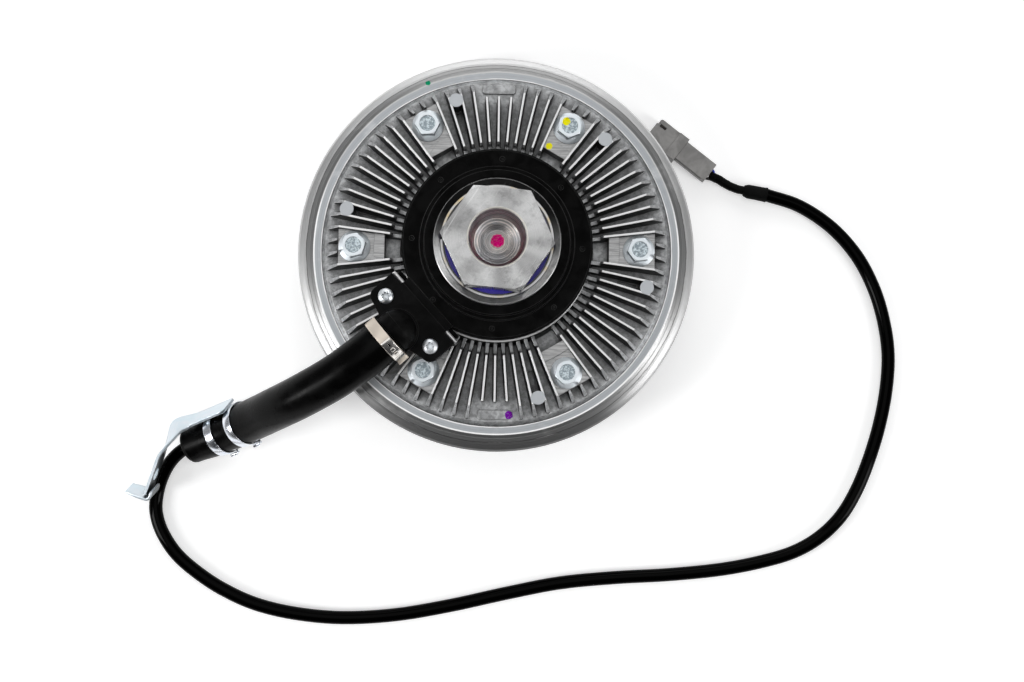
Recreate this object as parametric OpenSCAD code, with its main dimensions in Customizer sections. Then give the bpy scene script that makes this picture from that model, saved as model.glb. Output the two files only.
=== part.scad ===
// Viscous fan clutch with its magnet, tether hose and sensor cable.
// The clutch lies on its front cover: z = 0 is the front face and +Z points to the engine.

/* [Body] */
// Largest radius, over the flange of the front cover
body_r = 139; // [137:0.5:142]
// Outer radius of the machined flat on the rolled rim
rim_flat_r = 129.7; // [128.5:0.1:131]
// Radius of the parting line between rolled rim and rear housing
joint_r = 121.7; // [120.5:0.1:122.5]
// Height of the fins on the front cover
front_fin_h = 24; // [20:0.5:28]
// Wall of the front cover behind its fins
cover_wall = 10; // [8:0.5:12]
// Height of the working chamber
chamber_h = 20; // [19:0.5:24]
// Wall of the rear housing under its fins
housing_wall = 6; // [5:0.25:8]
// Height of the rolled lip over the rear housing's flange
lip_h = 3; // [2.5:0.25:4]
// Drop from the rolled rim to the outer flange
rim_step = 4; // [3:0.25:6]
// Width of one O-ring section in the rim
rim_seal_d = 2.7; // [2:0.1:3.2]

/* [Fins] */
// Rear fins in each sixth of the circle
fins_per_sector = 13; // [11:1:15]
// Height of the rear fins over the floor between them
fin_h = 17; // [14:0.5:20]
// Thickness of a fin at its tip
fin_tip = 1.4; // [1:0.1:2.4]
// Thickness of a fin at its root
fin_root = 3.2; // [2.6:0.1:3.8]
// Radius at which the rear fins begin
fin_in_r = 72; // [70:0.5:75]
// Height of the low inner ribs next to the hub
rib_h = 8; // [5:0.5:11]
// Fins on the front cover
front_fins = 60; // [48:4:72]

/* [Fan mount] */
// Radius of the circle on which the fan bolts stand
bolt_circle_r = 97.5; // [96:0.25:99]
// Angle of the first fan bolt
bolt_a = 1.4; // [0:0.1:3]
// Height of the bolt pads over the floor
pad_h = 12; // [10:0.5:14]
// Inner radius of the bolt pads
pad_in_r = 77.4; // [76:0.2:79]
// Radius of the fan pilot on the pads
pilot_r = 84.2; // [83:0.1:85]
// Height of the fan pilot over the pads
pilot_h = 1.8; // [1:0.1:2.5]
// Nominal radius of a fan bolt's shank
bolt_r = 5; // [4:0.5:6]
// Radius of a fan bolt's flange
bolt_flange_r = 10.9; // [10:0.1:11.5]
// Width across flats of a fan bolt's head
bolt_af = 15; // [13:0.5:16]
// Height of a fan bolt's head with its flange
bolt_head_h = 10; // [8:0.5:11]
// Length of a fan bolt's shank
bolt_len = 12.5; // [10:0.5:14]
// Radius of an ejector post
post_r = 4.75; // [4:0.05:5]
// Radius of the circle of ejector posts
post_circle_r = 106; // [104:0.5:107]

/* [Shaft] */
// Width across flats of the hexagon
hex_af = 65; // [60:0.5:66]
// Height of the hexagon
hex_h = 17; // [14:0.5:20]
// Turn of the hexagon about the axis
hex_turn = -3.3; // [-30:0.1:30]
// Radius of the socket in the hexagon
socket_r = 18.8; // [17:0.1:19.5]
// Depth of the socket's straight wall
socket_depth = 10; // [8:0.5:12]
// Depth of the bowl below the socket's straight wall
bowl_h = 14; // [10:0.5:15]
// Radius of the bearing journals
journal_r = 22.5; // [21:0.25:23.5]
// Radius of the rotor's seat
rotor_seat_r = 20; // [18:0.25:20.5]

/* [Bearings] */
// Outer radius of the main bearing
main_r = 42.5; // [41.5:0.25:42.75]
// Width of the main bearing
main_w = 19; // [18:0.5:20]
// Radius of a main bearing ball
main_ball_r = 6.35; // [6:0.05:6.6]
// Balls in the main bearing
main_balls = 10; // [8:1:11]
// Outer radius of the magnet bearing
coil_brg_r = 37.5; // [36.75:0.25:38]
// Width of the magnet bearing
coil_brg_w = 16; // [15:0.5:17]
// Radius of a magnet bearing ball
coil_ball_r = 4.4; // [4.1:0.05:4.6]
// Balls in the magnet bearing
coil_balls = 13; // [10:1:14]

/* [Rotor] */
// Outer radius of the rotor disc
rotor_r = 114.5; // [113:0.25:115]
// Thickness of the rotor's web
rotor_web = 6; // [5:0.25:7]
// Annular lands on each side of the rotor
land_count = 5; // [3:1:5]
// Radial distance from one land to the next
land_pitch = 8; // [7.5:0.25:8]
// Thickness of a land
land_t = 3.2; // [2.6:0.1:3.3]
// Height of a land
land_h = 5.5; // [4.5:0.25:5.75]
// Outer radius of the fluid reservoir
reservoir_r = 60; // [59:0.25:61]
// Radius of the valve port
port_r = 2.5; // [2:0.1:3]

/* [Magnet] */
// Outer radius of the magnet housing
coil_r = 64; // [63:0.25:65]
// Height of the magnet housing's outer ring
coil_h = 13; // [12:0.5:15]
// Outer radius of the lower collar step
collar_r1 = 52; // [50.5:0.25:54]
// Outer radius of the upper collar step
collar_r2 = 49; // [47:0.25:50]
// Height of the upper collar over the ring
collar_h = 7; // [6:0.25:8]
// Outer radius of the steel pole ring
pole_r = 42.2; // [41.5:0.1:43]
// Height of the pole ring over the outer ring
pole_h = 12; // [11:0.25:13]
// Air gap between hub and magnet
air_gap = 2; // [1.5:0.25:3]

/* [Arm] */
// Direction of the cable arm
arm_a = 223.7; // [218:0.1:229]
// Distance from the axis to the outer end of the arm
arm_end = 90.3; // [89:0.1:92]
// Half width of the arm
arm_half_w = 31.3; // [30:0.1:32]
// Thickness of the arm
arm_t = 7.5; // [7:0.25:9]
// Distance from the axis to the arm screws
arm_screw_u = 78.8; // [77:0.1:80]
// Half the distance between the arm screws
arm_screw_v = 22.3; // [21:0.1:23]
// Radius of an arm screw's button head
arm_screw_head_r = 5.25; // [4.5:0.05:5.5]
// Radius of the straight pin
arm_pin_r = 1.35; // [1.1:0.05:1.5]

/* [Hose and cable] */
// Outer diameter of the tether hose
hose_d = 29.5; // [28.5:0.25:30]
// Outer diameter of the hose's squeezed end
hose_end_d = 26.5; // [25:0.25:28]
// Outer diameter of the sensor cable
cable_d = 9.6; // [8.6:0.1:9.8]
// Outer diameter of the taped lead at the plug
lead_d = 7; // [6.5:0.25:8]
// Diameter of one wire
wire_d = 2.2; // [1.8:0.1:2.4]
// Width of one band on the hose
band_w = 6.5; // [5:0.25:8]
// Width of the ear clamp
clamp_w = 7; // [6:0.25:8]
// Thickness of the bracket strip
strip_t = 2; // [1.5:0.25:2.5]
// Width of the bracket strip
strip_w = 18; // [16:0.5:20]
// Radius of the hole in the bracket's bar
bar_hole_r = 4.5; // [3.5:0.25:5]

/* [Plug] */
// Length of the plug's rear body
plug_len = 27; // [25:0.5:29]
// Width of the plug's rear body
plug_w = 15; // [14.5:0.25:16]
// Height of the plug
plug_h = 13; // [12:0.5:15]
// Length of the plug's front shell
shell_len = 26.5; // [24:0.5:28]
// Width of the plug's front shell
shell_w = 19.5; // [18:0.25:20]

/* [Hidden] */

// Facets of round solids, which stand for true circles
ROUND = 120;
// Facets of small round solids
SMALL = 48;
// Radial play of a pressed seat
SEAT = 0.02;
// Radial play of a running fit
RUN = 0.05;
// Play between loose neighbours on one body
PLAY = 0.3;
// Depth by which a cut passes its face
CUT = 1;

sectors = 6;
pitch_a = 360 / sectors / fins_per_sector;
land_r0 = 72;
land_offset = land_pitch / 2;

// Heights, from the front face upwards
chamber_floor_z = front_fin_h + cover_wall;
chamber_top_z = chamber_floor_z + chamber_h;
floor_z = chamber_top_z + housing_wall;
pad_z = floor_z + pad_h;
fin_top_z = floor_z + fin_h;
rim_top_z = chamber_top_z + lip_h;
flange_top_z = rim_top_z - rim_step;
ledge_z = chamber_top_z - 8;
hub_recess_z = chamber_top_z + 2;
main_z0 = hub_recess_z + 6;
main_z1 = main_z0 + main_w;
hub_top_z = main_z1 + 4;
coil_z0 = hub_top_z + air_gap;
coil_z1 = coil_z0 + coil_h;
collar_z1 = coil_z1 + 3;
collar_z2 = coil_z1 + collar_h;
pole_z1 = coil_z1 + pole_h;
coil_brg_z1 = pole_z1 - 3;
coil_brg_z0 = coil_brg_z1 - coil_brg_w;
hex_z0 = pole_z1 + 1;
hex_z1 = hex_z0 + hex_h;
rotor_z0 = chamber_floor_z + 7;
rotor_z1 = rotor_z0 + rotor_web;
reservoir_z = chamber_floor_z + 2;
arm_z = coil_z0 + 7;
arm_top_z = arm_z + arm_t;

// Radii inside the body
chamber_r = rotor_r + 1.5;
flange_r = joint_r + 4.3;
recess_r = 64;
hub_r = main_r + 4.3;
insert_t = 4;
hub_lip_r = main_r - 6.5;
tone_r0 = 57;
tone_r1 = 63;
main_pitch_r = (main_r + journal_r) / 2;
coil_pitch_r = (coil_brg_r + journal_r) / 2;
clip_t = 1.6;

function arc(r, a0, a1, n, c = [0, 0]) =
    [for (i = [0:n]) c + r * [cos(a0 + (a1 - a0) * i / n), sin(a0 + (a1 - a0) * i / n)]];

// Points of a row of annular lands that stand from base to top, innermost land at r0
function lands(r0, base, top) =
    [for (k = [0:land_count - 1], p = [[0, base], [0, top], [land_t, top], [land_t, base]])
        [r0 + k * land_pitch + p[0], p[1]]];

function reversed(list) = [for (i = [len(list) - 1:-1:0]) list[i]];

module spun(points) {
    rotate_extrude($fn = ROUND) polygon(points);
}

module ring(r0, r1, z0, z1) {
    rotate_extrude($fn = ROUND) translate([r0, z0]) square([r1 - r0, z1 - z0]);
}

module at_angle(a) {
    rotate([0, 0, a]) children();
}

module each_sector(a) {
    for (k = [0:sectors - 1]) at_angle(a + k * 360 / sectors) children();
}

module hexagon(af, h) {
    cylinder(r = af / 2 / cos(30), h = h, $fn = 6);
}

// Rear housing and its fins
housing_points = concat(
    [[hub_lip_r, hub_recess_z], [recess_r, hub_recess_z], [recess_r + 2, chamber_top_z]],
    lands(land_r0 + land_offset, chamber_top_z, chamber_top_z - land_h),
    [
        [chamber_r, chamber_top_z], [chamber_r, ledge_z], [flange_r - PLAY, ledge_z],
        [flange_r - PLAY, chamber_top_z], [joint_r - PLAY, chamber_top_z],
        [joint_r - PLAY, rim_top_z], [joint_r - 1.2, rim_top_z + 0.9], [joint_r - 3, floor_z],
        [recess_r + 3, floor_z], [recess_r + 1, floor_z + 2], [recess_r + 0.5, main_z1 - 5],
        [hub_r + insert_t + PLAY, main_z1 - 5], [hub_r + insert_t + PLAY, main_z0 - 3],
        [hub_r, main_z0 - 3], [hub_r, hub_top_z - 1], [hub_r - 1, hub_top_z],
        [main_r + 0.8, hub_top_z], [main_r, hub_top_z - 0.8], [main_r, main_z1 + clip_t + 0.2],
        [main_r + 1.8, main_z1 + clip_t + 0.2], [main_r + 1.8, main_z1], [main_r, main_z1],
        [main_r, main_z0], [hub_lip_r, main_z0]
    ]
);

// Outline of a rear fin in the radial plane
fin_envelope = [
    [recess_r + 0.8, floor_z - 0.5], [recess_r + 0.8, floor_z + rib_h], [fin_in_r, floor_z + rib_h],
    [fin_in_r, fin_top_z - 1.5], [fin_in_r + 1.5, fin_top_z], [joint_r - 12.7, fin_top_z],
    [joint_r - 4.1, floor_z + 3], [joint_r - 3.5, floor_z - 0.5]
];

function in_plate_sector(k, j) =
    (k == 1 || k == 4) && abs(j + 0.5 - fins_per_sector / 2) < 1.6;
function beside_bolt(j) = j == 0 || j == fins_per_sector - 1;

// Fin with draft on its sides and a round nose at its outer end
module fin(r0, r1, h) {
    nose = arc(fin_root / 2, -90, 90, 6, [min(r1, joint_r - 3.5) - fin_root / 2, 0]);
    intersection() {
        translate([r0, 0, floor_z - 0.5]) rotate([90, 0, 90]) linear_extrude(r1 - r0)
            polygon([[-fin_root / 2, 0], [fin_root / 2, 0], [fin_tip / 2, h + 0.5],
                     [-fin_tip / 2, h + 0.5]]);
        translate([0, 0, floor_z - 1]) linear_extrude(h + 2)
            polygon(concat([[r0 - CUT, -fin_root / 2]], nose, [[r0 - CUT, fin_root / 2]]));
    }
}

module rear_fins() {
    intersection() {
        union() {
            for (k = [0:sectors - 1], j = [0:fins_per_sector - 1])
                at_angle(bolt_a + k * 360 / sectors + (j + 0.5) * pitch_a)
                    fin(beside_bolt(j) ? bolt_circle_r + bolt_flange_r + 0.6 : recess_r,
                        in_plate_sector(k, j) ? joint_r - 16.7 : joint_r, fin_h);
        }
        spun(fin_envelope);
    }
}

// Wedge between the two fins beside a bolt, from radius r0 to r1
module pad_wedge(r0, r1, z0, z1) {
    a = 1.5 * pitch_a;
    translate([0, 0, z0]) linear_extrude(z1 - z0) polygon([
        [r0 * cos(a), -r0 * sin(a)], [r1 * cos(a), -r1 * sin(a)],
        [r1 * cos(a), r1 * sin(a)], [r0 * cos(a), r0 * sin(a)]
    ]);
}

module bolt_pad() {
    pad_wedge(pad_in_r, bolt_circle_r + bolt_flange_r + 1, floor_z - 0.5, pad_z);
    intersection() {
        pad_wedge(pad_in_r, pilot_r + 2, pad_z - 1, pad_z + pilot_h);
        ring(pad_in_r - 2, pilot_r, pad_z - 1, pad_z + pilot_h);
    }
}

// Bare raised plate on the flat between the shortened fins
module blank_plate() {
    w = 11.5;
    d = 3.1;
    c = 1.2;
    translate([joint_r - 8.2, 0, floor_z - 0.5]) linear_extrude(1.9)
        polygon([[-d, -w + c], [-d + c, -w], [d - c, -w], [d, -w + c],
                 [d, w - c], [d - c, w], [-d + c, w], [-d, w - c]]);
}

module rear_housing() {
    color("#a9abad") difference() {
        union() {
            spun(housing_points);
            rear_fins();
            each_sector(bolt_a) bolt_pad();
            each_sector(bolt_a - 3 * pitch_a) translate([post_circle_r, 0, floor_z - 0.5])
                cylinder(r = post_r, h = fin_h + 0.5, $fn = SMALL);
            for (k = [1, 4]) at_angle(bolt_a + (k + 0.5) * 360 / sectors) blank_plate();
        }
        each_sector(bolt_a) translate([bolt_circle_r, 0, pad_z - bolt_len - 1])
            cylinder(r = bolt_r, h = bolt_len + 1 + CUT, $fn = SMALL);
        each_sector(bolt_a - 3 * pitch_a)
            translate([post_circle_r - post_r - 15, -1.6, floor_z - 3]) cube([14, 3.2, 3 + CUT]);
    }
}

// Front cover with the rolled rim
front_boss_r = 42;
cover_points = concat(
    [
        [0, 3], [14, 3], [16, 0], [front_boss_r - 2, 0], [front_boss_r, 2],
        [front_boss_r, front_fin_h], [chamber_r + 4, front_fin_h],
        [body_r - 11, front_fin_h + 8], [body_r - 3, front_fin_h + 13],
        [body_r, front_fin_h + 17], [body_r, flange_top_z - 4], [body_r - 1.4, flange_top_z - 2],
        [body_r - 4.6, flange_top_z - 0.4], [rim_flat_r + 3.2, flange_top_z + 0.8],
        [rim_flat_r + 0.6, rim_top_z - 0.6], [rim_flat_r, rim_top_z], [joint_r, rim_top_z],
        [joint_r, chamber_top_z], [flange_r, chamber_top_z], [flange_r, ledge_z],
        [chamber_r + 5.2, ledge_z], [chamber_r + 5.2, ledge_z - rim_seal_d - 0.1],
        [chamber_r + 1.9, ledge_z - rim_seal_d - 0.1], [chamber_r + 1.9, ledge_z],
        [chamber_r, ledge_z], [chamber_r, chamber_floor_z]
    ],
    reversed(lands(land_r0 + land_offset, chamber_floor_z, chamber_floor_z + land_h)),
    [[recess_r + 2, chamber_floor_z], [recess_r, chamber_floor_z - 2], [0, chamber_floor_z - 2]]
);

front_fin_envelope = [
    [front_boss_r + 2, front_fin_h + 0.5], [front_boss_r + 2, 2.5], [front_boss_r + 4.5, 0],
    [chamber_r - 8, 0], [chamber_r + 8, front_fin_h - 10], [body_r - 13, front_fin_h + 4],
    [body_r - 14, front_fin_h + 6.8], [chamber_r + 2, front_fin_h + 0.5]
];

plug_r = 5;
plug_off = 29;

module front_cover() {
    color("#b4b6b8") difference() {
        union() {
            spun(cover_points);
            intersection() {
                union() {
                    for (i = [0:front_fins - 1]) at_angle(i * 360 / front_fins)
                        translate([front_boss_r, 0, 0]) rotate([90, 0, 90])
                            linear_extrude(body_r - front_boss_r - 8)
                                polygon([[-fin_tip / 2, 0], [fin_tip / 2, 0],
                                         [fin_root / 2, front_fin_h + 8],
                                         [-fin_root / 2, front_fin_h + 8]]);
                }
                spun(front_fin_envelope);
            }
        }
        translate([plug_off, 0, -CUT]) cylinder(r = plug_r, h = chamber_floor_z + CUT, $fn = SMALL);
    }
}

module fill_plug() {
    color("#c4c8cb") difference() {
        translate([plug_off, 0, 1]) cylinder(r = plug_r - SEAT, h = 14, $fn = SMALL);
        translate([plug_off, 0, 0]) hexagon(5, 6);
    }
}

module rim_seal() {
    color("#202224") rotate_extrude($fn = ROUND)
        translate([chamber_r + 3.5, ledge_z - rim_seal_d / 2 - 0.05])
            circle(r = rim_seal_d / 2, $fn = SMALL);
}

module flux_insert() {
    color("#8b8f93") ring(hub_r + RUN, hub_r + insert_t, main_z0 - 3, hub_top_z - 0.5);
}

tone_teeth = 24;

module tone_ring() {
    color("#7d8085") difference() {
        ring(tone_r0, tone_r1, main_z1 - 5, main_z1 + 1.5);
        for (i = [0:tone_teeth - 1]) at_angle(i * 360 / tone_teeth)
            translate([tone_r0 - CUT, -3.5, main_z1 - 1.5]) cube([tone_r1 - tone_r0 + 2 * CUT, 7, 5]);
    }
}

// Hexagon whose top corners are turned down outside radius top_r
module hex_chamfer(af, h, top_r) {
    r = af / 2 / cos(30);
    intersection() {
        hexagon(af, h);
        spun([[0, 0], [r + CUT, 0], [r + CUT, h - 0.6 * (r + CUT - top_r)], [top_r, h], [0, h]]);
    }
}

module fan_bolt() {
    flange_h = 2.4;
    difference() {
        union() {
            translate([0, 0, -bolt_len]) cylinder(r = bolt_r - RUN, h = bolt_len, $fn = SMALL);
            spun([[0, 0], [bolt_flange_r, 0], [bolt_flange_r, 0.9],
                  [bolt_af / 2 + 0.6, flange_h], [0, flange_h]]);
            translate([0, 0, flange_h - 0.5]) hex_chamfer(bolt_af, bolt_head_h - flange_h + 0.5, bolt_af / 2 + 0.1);
        }
        translate([0, 0, bolt_head_h - 1.2]) cylinder(r = bolt_af / 2 - 2, h = 1.2 + CUT, $fn = SMALL);
    }
}

// Turn of each bolt head where it was left by the wrench
bolt_turns = [8, 22, 3, 14, 27, 19];

module fan_bolts() {
    color("#c9d3d8") for (k = [0:sectors - 1]) at_angle(bolt_a + k * 360 / sectors)
        translate([bolt_circle_r, 0, pad_z]) at_angle(bolt_turns[k]) fan_bolt();
}

// Ball bearing parts, each centred on the bearing's middle plane
function shoulder(pitch_r, ball_r, side) = pitch_r + side * ball_r * 0.62;
function seal_seat_r(pitch_r, ball_r) = shoulder(pitch_r, ball_r, 1) + 2.2;
seal_seat_t = 1.8;

module ball_groove(pitch_r, ball_r) {
    rotate_extrude($fn = ROUND) translate([pitch_r, 0]) circle(r = ball_r + RUN, $fn = SMALL);
}

module outer_race(r, w, pitch_r, ball_r) {
    s = shoulder(pitch_r, ball_r, 1);
    seat = seal_seat_r(pitch_r, ball_r);
    difference() {
        spun([[s, -w / 2 + seal_seat_t], [seat, -w / 2 + seal_seat_t], [seat, -w / 2],
              [r - SEAT - 0.6, -w / 2], [r - SEAT, -w / 2 + 0.6], [r - SEAT, w / 2 - 0.6],
              [r - SEAT - 0.6, w / 2], [seat, w / 2], [seat, w / 2 - seal_seat_t],
              [s, w / 2 - seal_seat_t]]);
        ball_groove(pitch_r, ball_r);
    }
}

module inner_race(bore_r, w, pitch_r, ball_r) {
    s = shoulder(pitch_r, ball_r, -1);
    difference() {
        ring(bore_r + SEAT, s, -w / 2, w / 2);
        ball_groove(pitch_r, ball_r);
    }
}

module race_balls(n, pitch_r, ball_r) {
    for (i = [0:n - 1]) at_angle(i * 360 / n) translate([pitch_r, 0, 0])
        sphere(r = ball_r, $fn = SMALL);
}

module ball_cage(n, pitch_r, ball_r) {
    pocket_r = ball_r + 0.15;
    wall = ball_r * 0.3;
    difference() {
        ring(pitch_r - wall, pitch_r + wall, -ball_r - 1.4, ball_r * 0.45);
        for (i = [0:n - 1]) at_angle(i * 360 / n) translate([pitch_r - wall - CUT, 0, 0])
            rotate([0, 90, 0]) cylinder(r = pocket_r, h = 2 * (wall + CUT), $fn = SMALL);
    }
}

module seal_pair(w, pitch_r, ball_r) {
    for (side = [-1, 1]) translate([0, 0, side * (w / 2 - 0.9)])
        ring(shoulder(pitch_r, ball_r, -1) + 0.2, seal_seat_r(pitch_r, ball_r) - RUN, -0.6, 0.6);
}

// Open ring with lugs at its gap, lying on z = 0
module circlip(r0, r1, gap) {
    difference() {
        ring(r0, r1, 0, clip_t);
        linear_extrude(3 * clip_t, center = true)
            polygon([[0, 0], 2 * r1 * [cos(gap / 2), sin(gap / 2)],
                     2 * r1 * [cos(gap / 2), -sin(gap / 2)]]);
    }
}

main_mid_z = main_z0 + main_w / 2;
coil_mid_z = coil_brg_z0 + coil_brg_w / 2;

module main_bearing_outer_race() {
    color("#c2c5c8") translate([0, 0, main_mid_z])
        outer_race(main_r, main_w, main_pitch_r, main_ball_r);
}

module main_bearing_inner_race() {
    color("#c2c5c8") translate([0, 0, main_mid_z])
        inner_race(journal_r, main_w, main_pitch_r, main_ball_r);
}

module main_bearing_balls() {
    color("#dfe2e5") translate([0, 0, main_mid_z])
        race_balls(main_balls, main_pitch_r, main_ball_r);
}

module main_bearing_cage() {
    color("#b08d57") translate([0, 0, main_mid_z])
        ball_cage(main_balls, main_pitch_r, main_ball_r);
}

module main_bearing_seals() {
    color("#26282b") translate([0, 0, main_mid_z])
        seal_pair(main_w, main_pitch_r, main_ball_r);
}

module main_bearing_circlip() {
    color("#5c6064") translate([0, 0, main_z1 + 0.1])
        at_angle(40) circlip(main_r - 3, main_r + 1.6, 30);
}

module coil_bearing_outer_race() {
    color("#d5d8da") translate([0, 0, coil_mid_z])
        outer_race(coil_brg_r, coil_brg_w, coil_pitch_r, coil_ball_r);
}

module coil_bearing_inner_race() {
    color("#c2c5c8") translate([0, 0, coil_mid_z])
        inner_race(journal_r, coil_brg_w, coil_pitch_r, coil_ball_r);
}

module coil_bearing_balls() {
    color("#dfe2e5") translate([0, 0, coil_mid_z])
        race_balls(coil_balls, coil_pitch_r, coil_ball_r);
}

module coil_bearing_cage() {
    color("#b08d57") translate([0, 0, coil_mid_z])
        ball_cage(coil_balls, coil_pitch_r, coil_ball_r);
}

module coil_bearing_seals() {
    color("#2a2c86") translate([0, 0, coil_mid_z])
        seal_pair(coil_brg_w, coil_pitch_r, coil_ball_r);
}

module coil_bearing_circlip() {
    color("#d8cfae") translate([0, 0, coil_brg_z1 + 0.1])
        at_angle(176) circlip(coil_brg_r - 1.5, coil_brg_r + 1.3, 9);
}

module bearing_spacer() {
    color("#9a9ea2") ring(journal_r + SEAT, journal_r + 4.5, main_z1, coil_brg_z0);
}

// Input shaft with hexagon and socket
shaft_end_z = chamber_floor_z - 1;
rotor_clip_z = reservoir_z - clip_t;

module input_shaft() {
    color("#b9bcbf") difference() {
        union() {
            spun([
                [0, shaft_end_z], [rotor_seat_r - 1, shaft_end_z], [rotor_seat_r - 1, rotor_clip_z],
                [rotor_seat_r - 1.5, rotor_clip_z], [rotor_seat_r - 1.5, reservoir_z],
                [rotor_seat_r, reservoir_z], [rotor_seat_r, main_z0], [journal_r, main_z0],
                [journal_r, coil_brg_z1], [journal_r + 3.5, coil_brg_z1],
                [journal_r + 3.5, hex_z0 - 1.5], [journal_r + 5, hex_z0 + 0.5], [0, hex_z0 + 0.5]
            ]);
            translate([0, 0, hex_z0]) at_angle(hex_turn) hex_chamfer(hex_af, hex_h, hex_af / 2 + 2.8);
        }
        translate([0, 0, hex_z1 - socket_depth]) spun(concat(
            [[0, -bowl_h]],
            [for (a = [25:15:85]) [socket_r * sin(a), -bowl_h * pow(cos(a), 0.8)]],
            [[socket_r, 0], [socket_r, socket_depth - 1], [socket_r + 1, socket_depth],
             [socket_r + 1, socket_depth + CUT], [0, socket_depth + CUT]]));
    }
}

// Rotor disc, with the fluid reservoir on its front side and the valve on its rear side
rotor_hub_r = 30;
valve_x = 57;
valve_pin_r = 1.5;
valve_z = rotor_z1 + 3.2;
lug_y0 = 8;
lug_y1 = 11;
rivet_r = 1.5;
rivet_circle_r = reservoir_r + 3;
reservoir_plate_z = reservoir_z + 1.5;

rotor_points = concat(
    [
        [rotor_seat_r + SEAT, reservoir_plate_z], [rotor_hub_r, reservoir_plate_z],
        [rotor_hub_r, rotor_z1 - 4], [reservoir_r, rotor_z1 - 4], [reservoir_r, reservoir_plate_z],
        [reservoir_r + 6, reservoir_plate_z], [reservoir_r + 6, rotor_z0]
    ],
    lands(land_r0, rotor_z0, rotor_z0 - land_h),
    [[rotor_r, rotor_z0], [rotor_r, rotor_z1]],
    reversed(lands(land_r0, rotor_z1, rotor_z1 + land_h)),
    [[rotor_hub_r, rotor_z1], [rotor_hub_r, main_z0], [rotor_seat_r + SEAT, main_z0]]
);

module rotor_disc() {
    color("#9fa2a4") difference() {
        union() {
            spun(rotor_points);
            for (side = [-1, 1])
                translate([-valve_x - 3, side > 0 ? lug_y0 : -lug_y1, rotor_z1 - 0.5])
                    cube([6, lug_y1 - lug_y0, valve_z - rotor_z1 + 3]);
        }
        translate([-valve_x, 0, valve_z]) rotate([90, 0, 0])
            cylinder(r = valve_pin_r + SEAT, h = 2 * lug_y1 + 2, center = true, $fn = SMALL);
        translate([valve_x - 2, 0, rotor_z1 - 4 - CUT])
            cylinder(r = port_r, h = 4 + 2 * CUT, $fn = SMALL);
        each_sector(15) translate([rivet_circle_r, 0, reservoir_plate_z - CUT])
            cylinder(r = rivet_r + SEAT, h = 4 + CUT, $fn = SMALL);
    }
}

module reservoir_cover() {
    color("#b7babd") difference() {
        ring(rotor_seat_r + PLAY, reservoir_r + 5.5, reservoir_z, reservoir_plate_z);
        each_sector(15) translate([rivet_circle_r, 0, reservoir_z - CUT])
            cylinder(r = rivet_r + SEAT, h = 4 * CUT, $fn = SMALL);
    }
}

module reservoir_rivets() {
    color("#cfd2d4") each_sector(15) translate([rivet_circle_r, 0, reservoir_z])
        spun([[0, -1.2], [1.6, -1.1], [2.4, -0.5], [2.5, 0], [rivet_r, 0], [rivet_r, 5], [0, 5]]);
}

module rotor_circlip() {
    color("#5c6064") translate([0, 0, rotor_clip_z])
        circlip(rotor_seat_r - 1.4, rotor_seat_r + 3.5, 50);
}

module fluid_wipers() {
    color("#3a3c3f") for (a = [30, 210]) at_angle(a)
        translate([chamber_r - 4.2, -6, rotor_z1 + 0.8])
            cube([4, 12, chamber_top_z - rotor_z1 - 0.8]);
}

// Valve lever, a ring around the rotor hub with a hinge knuckle and a closing tongue
lever_t = 1;
armature_r0 = 40;
armature_r1 = 51;

module valve_pivot_pin() {
    color("#cfd2d4") translate([-valve_x, 0, valve_z]) rotate([90, 0, 0])
        cylinder(r = valve_pin_r, h = 2 * lug_y1, center = true, $fn = SMALL);
}

module valve_lever() {
    color("#8d9195") difference() {
        union() {
            ring(rotor_hub_r + 4, armature_r1 - 1, valve_z - lever_t / 2, valve_z + lever_t / 2);
            translate([armature_r1 - 3, -5, valve_z - lever_t / 2])
                cube([valve_x - armature_r1 + 6, 10, lever_t]);
            translate([valve_x - 2, 0, rotor_z1 + RUN])
                cylinder(r = port_r + 1.5, h = valve_z - rotor_z1 - RUN, $fn = SMALL);
            translate([-valve_x, -4.5, valve_z - lever_t / 2])
                cube([valve_x - armature_r1 + 3, 9, lever_t]);
            translate([-valve_x, 0, valve_z]) rotate([90, 0, 0])
                cylinder(r = valve_pin_r + 1.1, h = 9, center = true, $fn = SMALL);
        }
        translate([-valve_x, 0, valve_z]) rotate([90, 0, 0])
            cylinder(r = valve_pin_r + RUN, h = 12, center = true, $fn = SMALL);
    }
}

module armature_ring() {
    color("#75797d") ring(armature_r0, armature_r1, valve_z + lever_t / 2, valve_z + lever_t / 2 + 2.5);
}

// A tube swept along points, with a width at each and rings that keep +Z in their upper half
function unit(v) = v / norm(v);
function tangent(p, i) =
    unit(p[min(i + 1, len(p) - 1)] - p[max(i - 1, 0)]);
function sweep_ring(c, t, up, r, n) =
    let (s = unit(cross(t, up)), u = cross(s, t))
    [for (k = [0:n - 1]) c + r * (cos(360 * k / n) * s + sin(360 * k / n) * u)];

module swept_tube(p, widths, n, up = [0, 0, 1]) {
    m = len(p);
    polyhedron(
        [for (i = [0:m - 1], q = sweep_ring(p[i], tangent(p, i), up, widths[i] / 2, n)) q],
        concat(
            [[for (k = [0:n - 1]) k]],
            [for (i = [0:m - 2], k = [0:n - 1])
                [i * n + k, (i + 1) * n + k, (i + 1) * n + (k + 1) % n, i * n + (k + 1) % n]],
            [[for (k = [n - 1:-1:0]) (m - 1) * n + k]]
        )
    );
}

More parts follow.
